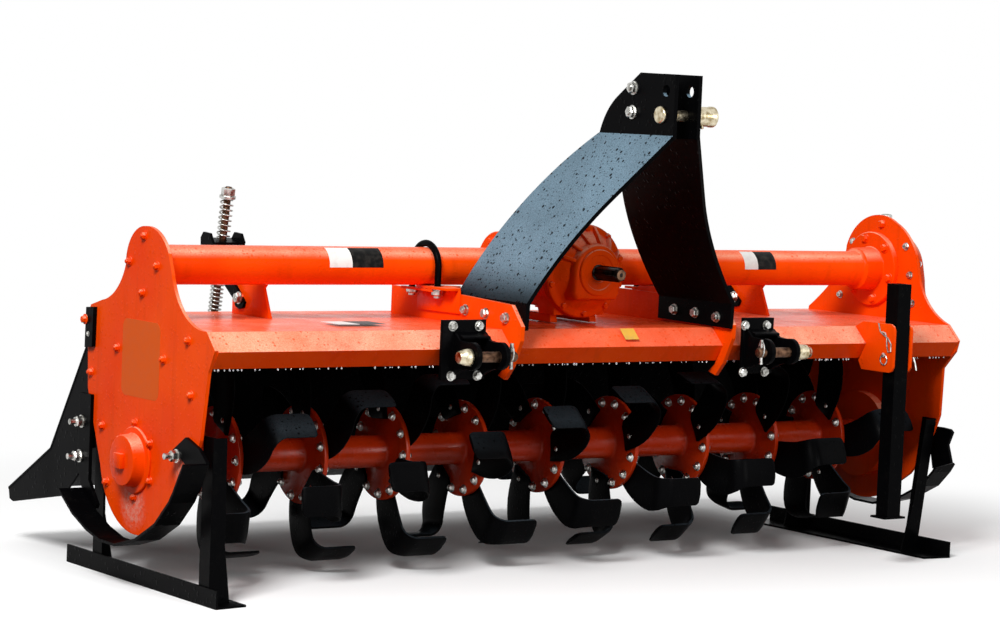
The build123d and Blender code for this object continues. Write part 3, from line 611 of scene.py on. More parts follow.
def coil_tree():
    """A coil spring of round wire, standing on Z."""
    t, g = new_tree("coil spring", {"Turns": 8.0, "Coil Radius": 0.015, "Wire Radius": 0.002,
                                    "Length": 0.1})
    line = node(t, "GeometryNodeCurveSpiral", {"Resolution": 28}, {"Rotations": g["Turns"],
                "Start Radius": g["Coil Radius"], "End Radius": g["Coil Radius"],
                "Height": g["Length"]})
    wire = node(t, "GeometryNodeCurvePrimitiveCircle", {"Resolution": 10},
                {"Radius": g["Wire Radius"]})
    coil = node(t, "GeometryNodeCurveToMesh", {"Fill Caps": True},
                {"Curve": line, "Profile Curve": wire})
    close_tree(t, g, coil)
    return t


def ring_tree():
    """A blank repeated evenly round Z, each copy facing outwards."""
    t, g = new_tree("copies round an axis", {"Blank": None, "Count": 6, "First Turn": 0.3})
    blank = node(t, "GeometryNodeObjectInfo", links={"Object": g["Blank"]})
    line = node(t, "GeometryNodeMeshLine", {"Offset": (0, 0, 0)}, {"Count": g["Count"]})
    index = node(t, "GeometryNodeInputIndex")
    step = node(t, "ShaderNodeMath", {"operation": "DIVIDE", 0: 2 * math.pi}, {1: g["Count"]})
    angle = node(t, "ShaderNodeMath", {"operation": "MULTIPLY_ADD"},
                 {0: index, 1: step, 2: g["First Turn"]})
    euler = node(t, "ShaderNodeCombineXYZ", links={"Z": angle})
    rotation = node(t, "FunctionNodeEulerToRotation", links={0: euler})
    copies = node(t, "GeometryNodeInstanceOnPoints", links={"Points": line,
                  "Instance": blank.outputs["Geometry"], "Rotation": rotation})
    close_tree(t, g, copies)
    return t


def drip_tree():
    """Water drops hanging along an edge, at uneven spacing and in uneven sizes."""
    t, g = new_tree("hanging drops", {"Spacing": 0.02, "Drop Radius": 0.003, "Share": 0.5,
                                      "Seed": 11})
    edge = node(t, "GeometryNodeMeshToCurve", links={0: g["Geometry"]})
    along = node(t, "GeometryNodeCurveToPoints", {"mode": "LENGTH"}, {"Curve": edge,
                 "Length": g["Spacing"]})
    wander = node(t, "ShaderNodeMath", {"operation": "MULTIPLY", 1: 0.45}, {0: g["Spacing"]})
    back = node(t, "ShaderNodeMath", {"operation": "MULTIPLY", 1: -1.0}, {0: wander})
    shift = node(t, "FunctionNodeRandomValue", links={2: back, 3: wander, 8: g["Seed"]})
    offset = node(t, "ShaderNodeCombineXYZ", links={"X": shift.outputs[1]})
    moved = node(t, "GeometryNodeSetPosition", links={"Geometry": along, "Offset": offset})
    drop = node(t, "GeometryNodeMeshUVSphere", {"Segments": 8, "Rings": 6},
                {"Radius": g["Drop Radius"]})
    size = node(t, "FunctionNodeRandomValue", {2: 0.45, 3: 1.15, 8: 5})
    hang = node(t, "ShaderNodeVectorMath", {"operation": "SCALE", 0: (1.0, 1.0, 1.3)},
                {3: size.outputs[1]})
    lucky = node(t, "FunctionNodeRandomValue", {"data_type": "BOOLEAN"},
                 {6: g["Share"], 8: g["Seed"]})
    drops = node(t, "GeometryNodeInstanceOnPoints", links={"Points": moved,
                 "Selection": lucky.outputs[3], "Instance": drop, "Scale": hang})
    close_tree(t, g, drops)
    return t


HEX, DOME, BLADES, COIL, RING, DRIPS = (make() for make in (
    hex_tree, dome_tree, blade_tree, coil_tree, ring_tree, drip_tree))


def fasteners(name, rows, slot, flats, head, washer, thin, stub=0.4, stub_r=0.0, way=(-1, 0, 0)):
    """Hex heads or nuts on the frame, in a slot's finish. Sizes in mm: across the flats, height of
    the head, radius and thickness of the washer, length and radius of the stub of thread."""
    obj = grow(name, spots(rows, way), HEX, {
        "Across Flats": flats * MM, "Head Height": head * MM,
        "Washer Radius": washer * MM, "Washer Thickness": thin * MM,
        "Stub Radius": (stub_r or flats * 0.2) * MM, "Stub Length": stub * MM,
        "Finish": FINISHES[slot]}, 25.0)
    return place_on(obj, "frame", slot)


# ================================================================ end plates
PLATE_BOLTS = [(-11, 498), (54, 438), (-74, 435), (-11, 372), (99, 241), (-117, 234), (-224, 284),
               (222, 175), (-244, 168), (159, 59), (129, -65)]
HUB_BOLT_R = 83      # bolt circle of the bearing cap


def left_end():
    """Painted bolts, the bearing cap with its square plug, and the blank panel."""
    fasteners("plate_bolts_left", [at(LEFT_FACE, y, z) for y, z in PLATE_BOLTS], "orange_paint", 14,
              7, 10.5, 2, 3, 4)
    hub = [at(LEFT_FACE, HUB_BOLT_R * math.cos(a), HUB_BOLT_R * math.sin(a)) for a in around(6, 28)]
    fasteners("hub_bolts_left", hub, "orange_paint", 13, 7, 10, 2, 2, 4)
    cap = Shape()
    centre = at(LEFT_FACE, 0, 0)
    cap.turned([(0.2, 75), (4, 75), (6, 73), (7, 61), (9, 59.5), (31, 57), (34, 55.5), (35, 52),
                (35, 8)],
               centre, (-1, 0, 0), 72)
    square = [at(LEFT_FACE - 35, y, z) for y, z in ((-17, -17), (17, -17), (17, 17), (-17, 17))]
    cap.slab(square, (-12, 0, 0))
    cap.add("bearing_cap", "orange_paint", "bearing_cap_left", bevel=2.0, angle=40, over=50)
    panel = Shape()
    corner, low, high, y0, y1 = 20, 140, 311, -98, 76
    rim = []
    for cy, cz, a0 in ((y1 - corner, high - corner, 0), (y0 + corner, high - corner, 90),
                       (y0 + corner, low + corner, 180), (y1 - corner, low + corner, 270)):
        for k in range(7):
            a = math.radians(a0 + 15 * k)
            rim.append((cy + corner * math.cos(a), cz + corner * math.sin(a)))
    panel.plate(rim, LEFT_FACE - 0.5, 0.45)
    panel.add("blank_panel", "orange_paint", material=PANEL)


# rim of the gear case cover: corners, and arcs by (end, a point on the way)
COVER_START = (-182, 417)
COVER = [
    ((-171, 463), None), ((-91, 548), (-142, 515)), ((86, 500), (20, 569)), ((126, 398), (98, 440)),
    ((198, 336), None), ((202, 306), None), ((202, 140), None), ((150, -22), (180, 55)),
    ((-98, -120), (34, -140)), ((-232, 32), (-176, -56)), ((-245, 84), None), ((-245, 194), None),
    ((-289, 239), None), ((-275, 282), None), ((-214, 334), None), ((-182, 417), (-192, 370))]
# the raised part of the cover runs straight past the nose of its rim
PRESSING = COVER[:10] + [((-245, 84), None), ((-243, 194), None), ((-239, 239), None),
                         ((-231, 282), None)] + COVER[-2:]
COVER_BOLTS = 18
INNER_BOLTS = [(71, 501), (-133, 500), (-152, 427), (-165, 355), (113, 358)]


def inset(outline, by):
    """The outline moved inwards by a distance, corner by corner."""
    out = []
    n = len(outline)
    area = sum(outline[i][0] * outline[(i + 1) % n][1] - outline[(i + 1) % n][0] * outline[i][1]
               for i in range(n))
    sign = 1 if area > 0 else -1
    for i in range(n):
        a, b, c = (Vector(outline[j % n]) for j in (i - 1, i, i + 1))
        d1, d2 = (b - a).normalized(), (c - b).normalized()
        n1, n2 = Vector((-d1.y, d1.x)) * sign, Vector((-d2.y, d2.x)) * sign
        m = n1 + n2
        out.append(tuple(b + m * (by / max(0.3, m.dot(n1)))))
    return out


def right_end():
    """The pressed gear case cover with its rim of bolts, and the plate's bolts on the inside."""
    edge = outline_of(COVER_START, COVER)
    cover = Shape()
    # out from the plate, and in from the edge
    rows = [(0.2, 0), (6, 0), (7, 1), (7.5, 12), (8.2, 14), (12, 17), (34, 22), (42, 27), (47, 36),
            (49.5, 48), (50, 60)]
    pressing = outline_of(COVER_START, PRESSING)
    cover.rings([[at(RIGHT_FACE + out, y, z) for y, z in inset(edge if out < 8 else pressing, by)]
                 for out, by in rows])
    for y, z, r in ((0, 0, 74), (-10, 435, 58)):
        cover.turned([(48, r), (54, r - 1), (57, r - 5), (58, r - 12)], at(RIGHT_FACE, y, z),
                     (1, 0, 0), 64)
    cover.turned([(0.2, 18), (20, 18), (20, 10)], at(RIGHT_FACE + 24, -16, 546), (0, 0, 1), 24)
    cover.add("gear_cover", "orange_paint", "gear_case_cover", angle=40)
    rim = inset(edge, 8)
    lengths = [0.0]
    for a, b in zip(rim, rim[1:] + rim[:1]):
        lengths.append(lengths[-1] + math.dist(a, b))
    rows = []
    for k in range(COVER_BOLTS):
        s = lengths[-1] * (k + 0.4) / COVER_BOLTS
        i = max(j for j in range(len(rim)) if lengths[j] <= s)
        a, b = Vector(rim[i]), Vector(rim[(i + 1) % len(rim)])
        p = a.lerp(b, (s - lengths[i]) / (lengths[i + 1] - lengths[i]))
        rows.append(at(RIGHT_FACE + 7, p.x, p.y))
    fasteners("cover_bolts", rows, "zinc", 13, 6, 9.5, 1.5, way=(1, 0, 0))
    inside = RIGHT_FACE - 8
    fasteners("plate_bolts_right", [at(inside, y, z) for y, z in INNER_BOLTS], "zinc", 14, 7, 10, 2)
    fasteners("plate_bolt_top", [at(inside, -37, 553)], "orange_paint", 17, 8, 11, 2)
    ring = [at(inside - 14, -10 + 80 * math.cos(a), 435 + 80 * math.sin(a))
            for a in around(6, 15)]
    fasteners("tube_flange_bolts", ring, "orange_paint", 17, 8, 13, 2)
    breather = Shape()
    breather.turned([(0, 8), (3, 8), (3, 15), (9, 15), (12, 12), (13, 6)],
                    at(RIGHT_FACE + 24, -16, 566), (0, 0, 1), 24)
    breather.add("breather", "zinc", "case_breather", bevel=0.6)


# ================================================================ tube, deck
TUBE_Y, TUBE_Z, TUBE_R = -10, 435, 44.5
LABEL_SPLIT = 0.42


def tube_and_deck():
    """The drawn tube with its welded flange, and the blank labels on tube and deck."""
    near = LEFT_FACE + 8
    far = RIGHT_FACE - 8 - near
    tube = Shape()
    tube.turned([(0, TUBE_R + 7), (3, TUBE_R + 5), (7, TUBE_R + 1), (9, TUBE_R),
                 (far - 74, TUBE_R), (far - 70, TUBE_R + 2), (far - 66, 54), (far - 16, 56),
                 (far - 14, 58), (far - 14, 94), (far - 12, 96), (far, 96)],
                at(near, TUBE_Y, TUBE_Z), (1, 0, 0), 96)
    tube.add("tube", "orange_paint", "main_tube", angle=40)
    # blank labels rolled on the front of the tube, from x to x: a pale part, then a dark one
    for number, (a, b) in enumerate(((-626, -481), (600, 702))):
        for word, start, end, material in (("pale", a, a + (b - a) * LABEL_SPLIT, WHITE_LABEL),
                                           ("dark", a + (b - a) * LABEL_SPLIT, b, BLACK_LABEL)):
            label = Shape()
            rows = []
            for x in (start, end):
                lip = [(TUBE_R + h, math.radians(first + step * k))
                       for h, first, step in ((0.1, 22, 7), (0.6, 92, -7)) for k in range(11)]
                rows.append([at(x, TUBE_Y - r * math.sin(q), TUBE_Z + r * math.cos(q))
                             for r, q in lip])
            label.rings(rows)
            label.add(f"tube_label_{word}_{number}", "orange_paint", material=material)
    for word, a, b, material in (("pale", -686, -630, WHITE_LABEL),
                                 ("dark", -630, -560, BLACK_LABEL)):
        label = Shape()
        label.slab([at(x, y, DECK_TOP + 0.05)
                    for x, y in ((a, -120), (a, -198), (b, -198), (b, -120))], (0, 0, 0.5))
        label.add("deck_label_" + word, "orange_paint", material=material)
    # a small blank label on the slope at the front of the deck, under the PTO shaft
    slope = Vector((0, -42, -40)).normalized()
    out = Vector((0, -40, 42)).normalized()
    patch = Shape()
    top = at(36, -307, 306) + out * 5.2 * MM
    corners = [top + Vector((dx * MM, 0, 0)) + slope * d * MM
               for dx, d in ((-20, 0), (20, 0), (20, 34), (-20, 34))]
    patch.slab(corners, out * 0.5)
    patch.add("yellow_patch", "orange_paint", material=YELLOW_LABEL)


# ================================================================ rotor
FLANGE_X = [14.0 + 222.2 * k for k in range(-4, 5)]
FLANGE_R, FLANGE_T, BOLT_R, ROTOR_R = 115.0, 12.0, 100.0, 38.0
JOURNAL, JOURNAL_R = 38, 28.0        # length and radius of the stubs in the bearings
# flange by flange, left to right, in degrees: its first blade of the right hand, its first bolt
BLADE_TURN = [167.0, 182.0, 194.5, 210.5, 225.3, 238.4, 249.5, 261.0, 279.0]
BOLT_TURN = [2.1, 16.1, 0.6, 17.2, 1.5, 15.4, 25.5, 8.7, 25.6]
HAND_TURN = {1: 0.0, -1: -58.0}     # how far the blades of a hand are turned from there
# from the upright of a blade's blank to the leading corner of its tip, in degrees
BLADE_LEAD = math.degrees(math.atan2(130, 215))
# leading and trailing edge of a blade as it comes out of the flange: (y, z)
LEADING = [(-79, 30), (-112, 66), (-132, 98), (-145, 134), (-149, 166), (-142, 194), (-130, 215)]
TRAILING = [(-28, 79), (-40, 104), (-50, 134), (-60, 168), (-63, 190), (-64, 215)]
# half the thickness of a blade, across it: (share of its width from the leading edge, mm)
BLADE_HALF = [(0.0, 1.0), (0.16, 3.2), (0.34, 4), (0.9, 4), (1.0, 2.6)]


def across(table, z):
    """The y of an edge at a height."""
    if z <= table[0][1]:
        return table[0][0]
    for (y0, z0), (y1, z1) in zip(table, table[1:]):
        if z <= z1:
            return y0 + (y1 - y0) * (z - z0) / (z1 - z0)
    return table[-1][0]


def blade_blank(hand):
    """One L-shaped blade: a flat shank, a forged bend and a blade, thinned to its leading edge."""
    line = [(10, z) for z in (31, 44, 58, 72, 86, 104, 122, 142, 160, 176)]
    for k in range(1, 9):
        a = math.radians(90 * k / 9)
        line.append((10 + 34 * (1 - math.cos(a)), 177 + 34 * math.sin(a)))
    line += [(x, 211) for x in (46, 62, 80, 98, 112, 118, 122, 124)]
    shape = Shape()
    rows = []
    for i, (x, z) in enumerate(line):
        lead, trail = across(LEADING, z), across(TRAILING, z)
        if z < 79:
            trail = -79 + (z - 30) * 51 / 49
        tip = {118: 2, 122: 6, 124: 14}.get(x, 0) if z == 211 else 0
        lead, trail = lead + tip, trail - tip * 0.8
        (xa, za), (xb, zb) = line[max(i - 1, 0)], line[min(i + 1, len(line) - 1)]
        n = Vector((-(zb - za), xb - xa)).normalized()
        section = [(share, half * way) for way, order in ((1, 1), (-1, -1))
                   for share, half in BLADE_HALF[::order]]
        rows.append([Vector((hand * (x + n.x * half), lead + (trail - lead) * share,
                             z + n.y * half)) * MM for share, half in section])
    shape.rings(rows)
    return shape.piece("blade_blank", TINE, 0, 50)


def rotor():
    """Flanges on the rotor tube, their bolts, and the blades wound round it."""
    x0, x1 = LEFT_FACE + 10, RIGHT_FACE - 10
    end = [(0, JOURNAL_R), (JOURNAL, JOURNAL_R), (JOURNAL, ROTOR_R - 2), (JOURNAL + 2, ROTOR_R)]
    profile = [(x0 + along, r) for along, r in end]
    # one side of a flange, from the foot of its weld to its rim: (out from the middle, radius)
    half, weld = FLANGE_T / 2, 7
    edge = [(half + weld, ROTOR_R), (half + weld * 0.4, ROTOR_R + 2.4), (half, ROTOR_R + weld),
            (half, FLANGE_R - 2.5), (half - 0.8, FLANGE_R - 0.7), (half - 2.5, FLANGE_R)]
    for x in FLANGE_X:
        profile += [(x - out, r) for out, r in edge] + [(x + out, r) for out, r in edge[::-1]]
    profile += [(x1 - along, r) for along, r in end[::-1]]
    body = Shape()
    body.turned(profile, at(0, 0, 0), (1, 0, 0), 72)
    body.add("rotor_body", "orange_paint", "rotor_shaft", body="rotor", material=ROTOR_ENAMEL,
             angle=40)
    bolts = []
    blades = {1: [], -1: []}
    for x, bolt_turn, blade_turn in zip(FLANGE_X, BOLT_TURN, BLADE_TURN):
        for a in around(12, bolt_turn):
            for side in (-1, 1):
                bolts.append((at(x + side * half, BOLT_R * math.sin(a), BOLT_R * math.cos(a)),
                              (side, 0, 0)))
        for hand in (-1, 1):
            for n in range(3):
                turn = blade_turn + HAND_TURN[hand] + BLADE_LEAD + 120 * n
                blades[hand].append((at(x, 0, 0), (0, 0, 1), -turn))
    heads = grow("flange_bolts", spots(bolts), DOME, {"Finish": ZINC}, 30.0)
    place_on(heads, "rotor", "zinc")
    for hand, node_name in ((-1, "tines_left"), (1, "tines_right")):
        blank = blade_blank(hand)
        obj = grow("blades_" + node_name[6:], spots(blades[hand]), BLADES,
                   {"Blade": blank, "Finish": TINE}, 50.0)
        bpy.data.objects.remove(blank)
        place_on(obj, "rotor", "tine_paint", node_name)


# ================================================================ gearbox
PTO = (Vector(joints["pto_spin"]["pos_m"]) - AXIS) / MM
RAIL_X = 58          # middle of the gearbox to the middle of a rail under it


def gearbox():
    """The cast housing with its ribs, cover bolts and the splined shaft."""
    x, z = PTO.x, PTO.z
    nose = at(x, 0, z)
    cast = Shape()
    cast.turned([(222, 60), (216, 70), (204, 82), (192, 92), (188, 99), (187, 106), (186, 109),
                 (183, 111), (178, 111), (176, 110), (176, 108), (174, 108), (172, 112), (166, 112),
                 (164, 110), (162, 100), (156, 97), (40, 96), (-20, 95), (-48, 91), (-60, 84),
                 (-62, 79), (-76, 78), (-78, 74)],
                nose, (0, -1, 0), 80)
    # front block: round on top, square below, with a turned ring and the shaft's recess
    front = [(64 * math.cos(a), 66 * math.sin(a)) for a in (math.radians(6 * k) for k in range(31))]
    front += [(-64, -50), (-56, -63), (56, -63), (64, -50)]
    cast.rings([[at(x + fx * k, y, z + fz * k) for fx, fz in front]
                for y, k in ((-196, 1.06), (-230, 1.03), (-236, 1.0), (-239, 0.96), (-240, 0.9))])
    cast.turned([(238, 55), (243, 55), (245, 53), (245, 42), (242, 40), (242, 24), (236, 22)], nose,
                (0, -1, 0), 64)
    for turn in (-66, -40, -14, 12, 38, 64):
        way = Vector((math.sin(math.radians(turn)), 0, math.cos(math.radians(turn))))
        side = Vector((way.z, 0, -way.x)) * 4 * MM
        cast.slab([nose - at(0, 0, 0) + at(0, -d, 0) + way * r * MM - side for r, d in
                   ((58, 234), (70, 230), (86, 214), (110, 186), (110, 178), (58, 178))],
                  tuple(side * 2 / MM))
    for side in (-1, 1):
        cast.turned([(40, 84), (62, 76), (70, 73), (117, 72), (120, 76), (120, 82), (122, 84),
                     (130, 84), (132, 82), (132, TUBE_R)], at(x, TUBE_Y, TUBE_Z), (side, 0, 0), 64)
    for s in (-RAIL_X, RAIL_X):
        cast.plate([(-168, 331), (-108, 331), (-100, 350), (34, 350), (42, 331), (70, 331),
                    (70, 390), (-168, 390)],
                   x + s - 15, 30)
    cast.add("gearbox_casting", "orange_paint", "gearbox_housing", bevel=2.5, angle=40, over=50)
    pads = Shape()
    for s in (-RAIL_X, RAIL_X):
        foot = DECK_TOP - 3
        pads.plate([(-150, foot), (62, foot), (56, 331), (-144, 331)], x + s - 10, 20)
    pads.add("gearbox_pads", "orange_paint", "gearbox_rails", material=DECK_ENAMEL, bevel=1.0)
    heads = [at(x + 104 * math.sin(a), -187, z + 101 * math.cos(a))
             for a in around(10, 36)]
    fasteners("gearbox_bolts", heads, "orange_paint", 13, 7, 9, 1.5, way=(0, -1, 0))
    rear = [at(x + 62 * math.sin(a), 78, z + 62 * math.cos(a)) for a in around(6, 30)]
    fasteners("gearbox_rear_bolts", rear, "orange_paint", 13, 7, 9, 1.5, way=(0, 1, 0))
    side_heads = [(at(x + s * 132, TUBE_Y + 64 * math.cos(a), TUBE_Z + 64 * math.sin(a)), (s, 0, 0))
                  for s in (-1, 1) for a in around(8, 22)]
    fasteners("gearbox_side_bolts", side_heads, "orange_paint", 13, 7, 9, 1.5)
    plug = Shape()
    plug.turned([(94, 14), (102, 14), (102, 9)], at(x, -60, z), (0, 0, 1), 24)
    plug.turned([(101, 10), (108, 10), (109, 8)], at(x, -60, z), (0, 0, 1), 6)
    plug.add("filler_plug", "orange_paint", bevel=0.8)
    # six-spline input shaft, its centred end left bare
    shaft = Shape()
    shaft.turned([(234, 19), (243, 19), (244, 15), (325, 15), (329, 12.5), (329, 8)], nose,
                 (0, -1, 0), 48)
    core = shaft.piece("pto_core", STEEL, 0, 40)
    end = Shape()
    end.turned([(328, 12.5), (329.2, 12.3), (329.6, 11.5), (329.6, 5), (326, 3), (324, 0.5)], nose,
               (0, -1, 0), 48)
    end.add("pto_end", "bare_steel", body="pto", material=GREASED_STEEL_AND_PIN_SHADE, angle=40)
    key = Shape()
    outline = ((12, 244), (17.5, 244), (17.5, 322), (15, 327), (12, 327))
    key.slab([Vector((r, -2.6, y)) * MM for r, y in outline], (0, 5.2, 0))
    blank = key.piece("spline_blank", STEEL, 0.5)
    keys = grow("pto_splines", spots(ORIGIN), RING, {"Blank": blank, "Count": 6,
                "First Turn": 0.3, "Finish": STEEL})
    bpy.data.objects.remove(blank)
    keys.data.transform(Matrix.Translation(nose) @ Matrix.Rotation(math.radians(90), 4, "X"))
    place_on(core, "pto", "bare_steel", "pto_shaft")
    place_on(keys, "pto", "bare_steel")


# ================================================================ mast and hitch
MAST_TAB = 39.0      # outer face of the tabs at the top of the mast
U_BOLT_X = 335.0
U_BOLT_BEND = 54.0   # middle of the tube to the middle of the bar
TOP_PIN = (-502.0, 811.0)
LOWER_PIN = (-430.0, 260.0)
CLEVISES = (mounts["lower_link_left"]["pos_m"][0] / MM, mounts["lower_link_right"]["pos_m"][0] / MM)


def lynch_pin(shape, x, y, z):
    """A lynch pin through a hitch pin at x: its stem across, and its spring ring round the end."""
    shape.bar([at(x, y, z + 30), at(x, y, z + 12), at(x, y, z - 24), at(x, y, z - 28)], 4.5, 12)
    ring = 17.0
    path = [at(x + ring * math.sin(a) * 0.35, y + ring * math.sin(a), z + 8 + ring * math.cos(a))
            for a in around(28)]
    shape.bar(path + path[:1], 2.2, 8)


def mast_and_hitch():
    """Nuts and spacers of the mast, U-bolts, clevis bolts, and the hitch pins with their clips."""
    nuts = [(at(side * MAST_TAB, y, z), (side, 0, 0)) for side in (-1, 1)
            for y, z in ((-397, 870.6), (-396, 815))]
    fasteners("mast_nuts", nuts, "zinc", 24, 11, 16, 3, 3, 7)
    spacers = Shape()
    for y, z in ((-397, 870), (-396, 815)):
        spacers.turned([(-29, 9), (-29, 15), (29, 15), (29, 9)], at(0, y, z), (1, 0, 0), 32)
    spacers.add("mast_spacer_tubes", "zinc", "mast_spacers", material=BLACK)
    rows = ((-313.2, (-153, -235, -316)), (292.8, (-165, -246, -328)))
    feet = [(at(x, y, z), (-1, 0, 0)) for x, ys in rows for y, z in zip(ys, (343, 341, 337))]
    fasteners("mast_foot_bolts", feet, "zinc", 19, 9, 13, 2.5)
    backs = [(at(x, y, z), (1, 0, 0)) for x, ys in ((-292.8, rows[0][1]), (313.2, rows[1][1]))
             for y, z in zip(ys, (343, 341, 337))]
    fasteners("mast_foot_nuts", backs, "black_paint", 19, 12, 12, 2)
    pin = Shape()
    y, z = TOP_PIN
    pin.turned([(-47, 4), (-47, 16), (-46, 18.5), (-44, 20), (-40, 20), (-39.4, 19), (-39.3, 12.5),
                (41, 12.5), (42, 20), (44, 22.5), (98, 22.5), (100, 24), (108, 24), (110, 22),
                (111, 12), (110, 8), (104, 7)],
               at(0, y, z), (1, 0, 0), 48)
    pin.turned([(-29, 3), (-28, 4), (28, 4), (29, 3)], at(74, y, z), (0, 0.3, 1), 16)
    pin.add("top_pin", "yellow_zinc", "top_link_pin", angle=40)
    hoops = Shape()
    for side in (-1, 1):
        x, bend = side * U_BOLT_X, U_BOLT_BEND
        path = [(-bend, 372), (-bend, 400)]
        path += [(-bend * math.cos(a), TUBE_Z + bend * math.sin(a))
                 for a in (math.pi * k / 20 for k in range(21))]
        path += [(bend, 400), (bend, 372)]
        hoops.bar([at(x, TUBE_Y + y, z) for y, z in path], 8, 16)
    hoops.add("u_bolt_hoops", "black_paint", "u_bolts", angle=40)
    seats = Shape()
    low = TUBE_Z - TUBE_R
    for side in (-1, 1):
        for outline, near, far in (
                ([(-134, 332), (-128, low), (2, low), (18, low - 9), (44, low - 30), (44, 330)],
                 313, 319),
                ([(-128, low - 6), (-128, low), (2, low), (2, low - 6)], 313, 352)):
            seats.plate(outline, near if side > 0 else -far, far - near)
    seats.add("u_bolt_seats", "orange_paint", bevel=1.5)
    nuts = [at(side * U_BOLT_X, TUBE_Y + s * U_BOLT_BEND, low - 6.2)
            for side in (-1, 1) for s in (-1, 1)]
    fasteners("u_bolt_nuts", nuts, "zinc", 24, 13, 16, 3, 5, 8, way=(0, 0, -1))
    y, z = LOWER_PIN
    ear = [(-348, 310), (-348, 206), (-392, 226), (-412, 232)]
    ear += [(y - 31 * math.cos(a), z + 2 + 31 * math.sin(a))
            for a in (math.radians(12 * k - 96) for k in range(16))]
    ear += [(-410, 291), (-385, 293), (-362, 310)]
    blocks, pins, heads, clips, rows = Shape(), Shape(), Shape(), Shape(), []
    # per hitch, from its middle: side, base plate from and to, bolt columns and rows, tip, clip
    for cx, s, (a, b), xs, zs, tip, clip in (
            (CLEVISES[0], 1, (-73, 45), (-47, 24), (323.5, 212), -77, 66),
            (CLEVISES[1], -1, (-51, 44), (-48, 19), (319, 207), -97, 52)):
        blocks.slab([at(cx + a, -348, 203), at(cx + b, -348, 203), at(cx + b, -348, 337),
                     at(cx + a, -348, 337)],
                    (0, -10, 0))
        for side in (-1, 1):
            blocks.plate(ear, cx + side * 38 - 6, 12)
        blocks.slab([at(cx - 38, -357, 304), at(cx - 38, -357, 310), at(cx - 38, -388, 302),
                     at(cx - 38, -388, 296)], (76, 0, 0))
        rows += [at(cx + dx, -358, height) for dx in xs for height in zs]
        pins.turned([(-50, 12), (clip + 8, 12), (clip + 12, 9), (clip + 13, 4)], at(cx, y, z),
                    (s, 0, 0), 32)
        heads.turned([(tip, 4), (tip, 12), (tip + 2, 14), (tip + 12, 16), (tip + 14, 18),
                      (-52, 19.5), (-46, 19), (-45, 11)], at(cx, y, z), (s, 0, 0), 40)
        lynch_pin(clips, cx + s * clip, y, z)
    blocks.add("clevises", "black_paint", "lower_hitch_clevises", bevel=1.5)
    fasteners("clevis_bolts", rows, "zinc", 17, 8, 11.5, 2, way=(0, -1, 0))
    # the pins take the darker steel instead of their yellow zinc: painted shade between the ears
    pins.add("lower_pins", "yellow_zinc", "lower_link_pins", material=GREASED_STEEL_AND_PIN_SHADE, angle=40)
    heads.add("lower_pin_heads", "yellow_zinc", angle=40)
    clips.add("lynch_pins", "zinc", angle=40)


# ================================================================ spring rods
ROD_X = 698.5
YOKE_HALF = 42       # rod to the middle of a yoke's arm
ROD_WAY = -Vector(joints["rod_left_slide"]["axis"])
GUSSET = [(20, 310), (193, 310), (193, 372), (176, 386), (120, 392), (66, 440), (46, 440),
          (44.5, 445), (34, 420), (24, 406), (30, 400), (52, 378)]
ROD_TOP = (294.0, 600.0)
ROD_LEN = 433.4
THREADED, THREAD_PITCH = 60, 2.2
# from and to along the rod, and the number of turns
COILS = {"upper": (29.5, 127.5, 7.5), "lower": (205.5, 328.5, 12.0)}


def spring_rods():
    """Threaded rods with nuts, and the two springs on each."""
    heads = []
    for side, word in ((-1, "left"), (1, "right")):
        top = at(side * ROD_X, *ROD_TOP)
        rod = Shape()
        profile = [(-1, 3), (-0.5, 7), (2, 8.6)]
        along = 2.0
        while along < THREADED:
            profile += [(along + 1.1, 8.9), (along + 2.0, 8.0)]
            along += THREAD_PITCH
        profile += [(THREADED + 2, 9), (ROD_LEN + 12, 9)]
        rod.turned(profile, top, ROD_WAY, 24)
        rod.add("rod_" + word, "zinc", "spring_rod_" + word, body="rod_" + word,
                material=GREASED_STEEL_AND_PIN_SHADE, angle=40)
        nuts = Shape()
        for start, thick in ((2, 19), (330, 16)):
            nuts.turned([(start, 13), (start + 2, 16.5), (start + thick - 1.5, 16.5),
                         (start + thick, 14)],
                        top, ROD_WAY, 6, 0.4)
        nuts.turned([(20, 17), (21, 19.5), (27, 19.5), (28.5, 17)], top, ROD_WAY, 32)
        nuts.add("rod_nuts_" + word, "zinc", body="rod_" + word, angle=30)
        for level, body in (("upper", "yoke_"), ("lower", "rod_")):
            start, end, turns = COILS[level]
            coil = grow(f"coil_{level}_{word}", spots(ORIGIN), COIL, {
                "Turns": turns, "Coil Radius": 14.6 * MM, "Wire Radius": 2.0 * MM,
                "Length": (end - start - 5.2) * MM, "Finish": ZINC}, 60.0)
            turn = Vector((0, 0, 1)).rotation_difference(ROD_WAY).to_matrix().to_4x4()
            coil.data.transform(Matrix.Translation(top + ROD_WAY * (start + 2.6) * MM) @ turn)
            place_on(coil, body + word, "zinc", f"{level}_spring_{word}")
        pivot = (Vector(joints[f"yoke_{word}_pivot"]["pos_m"]) - AXIS) / MM
        inner = side * (ROD_X + YOKE_HALF) + 4
        heads += [at(inner - 8, pivot.y, pivot.z)]
    plates = Shape()
    for side in (-1, 1):
        inner = side * (ROD_X + YOKE_HALF) + 4
        plates.plate(GUSSET, inner, 8)
        plates.turned([(-7.8, 7.8), (1, 7.8)], at(inner, pivot.y, pivot.z), (1, 0, 0), 24)
    plates.add("gusset_plates", "orange_paint", "rod_gussets", bevel=1.2)
    fasteners("pivot_bolts", heads, "zinc", 22, 9, 14.5, 2)


# ================================================================ skids, stands, parking leg
LEG_X = 789.0


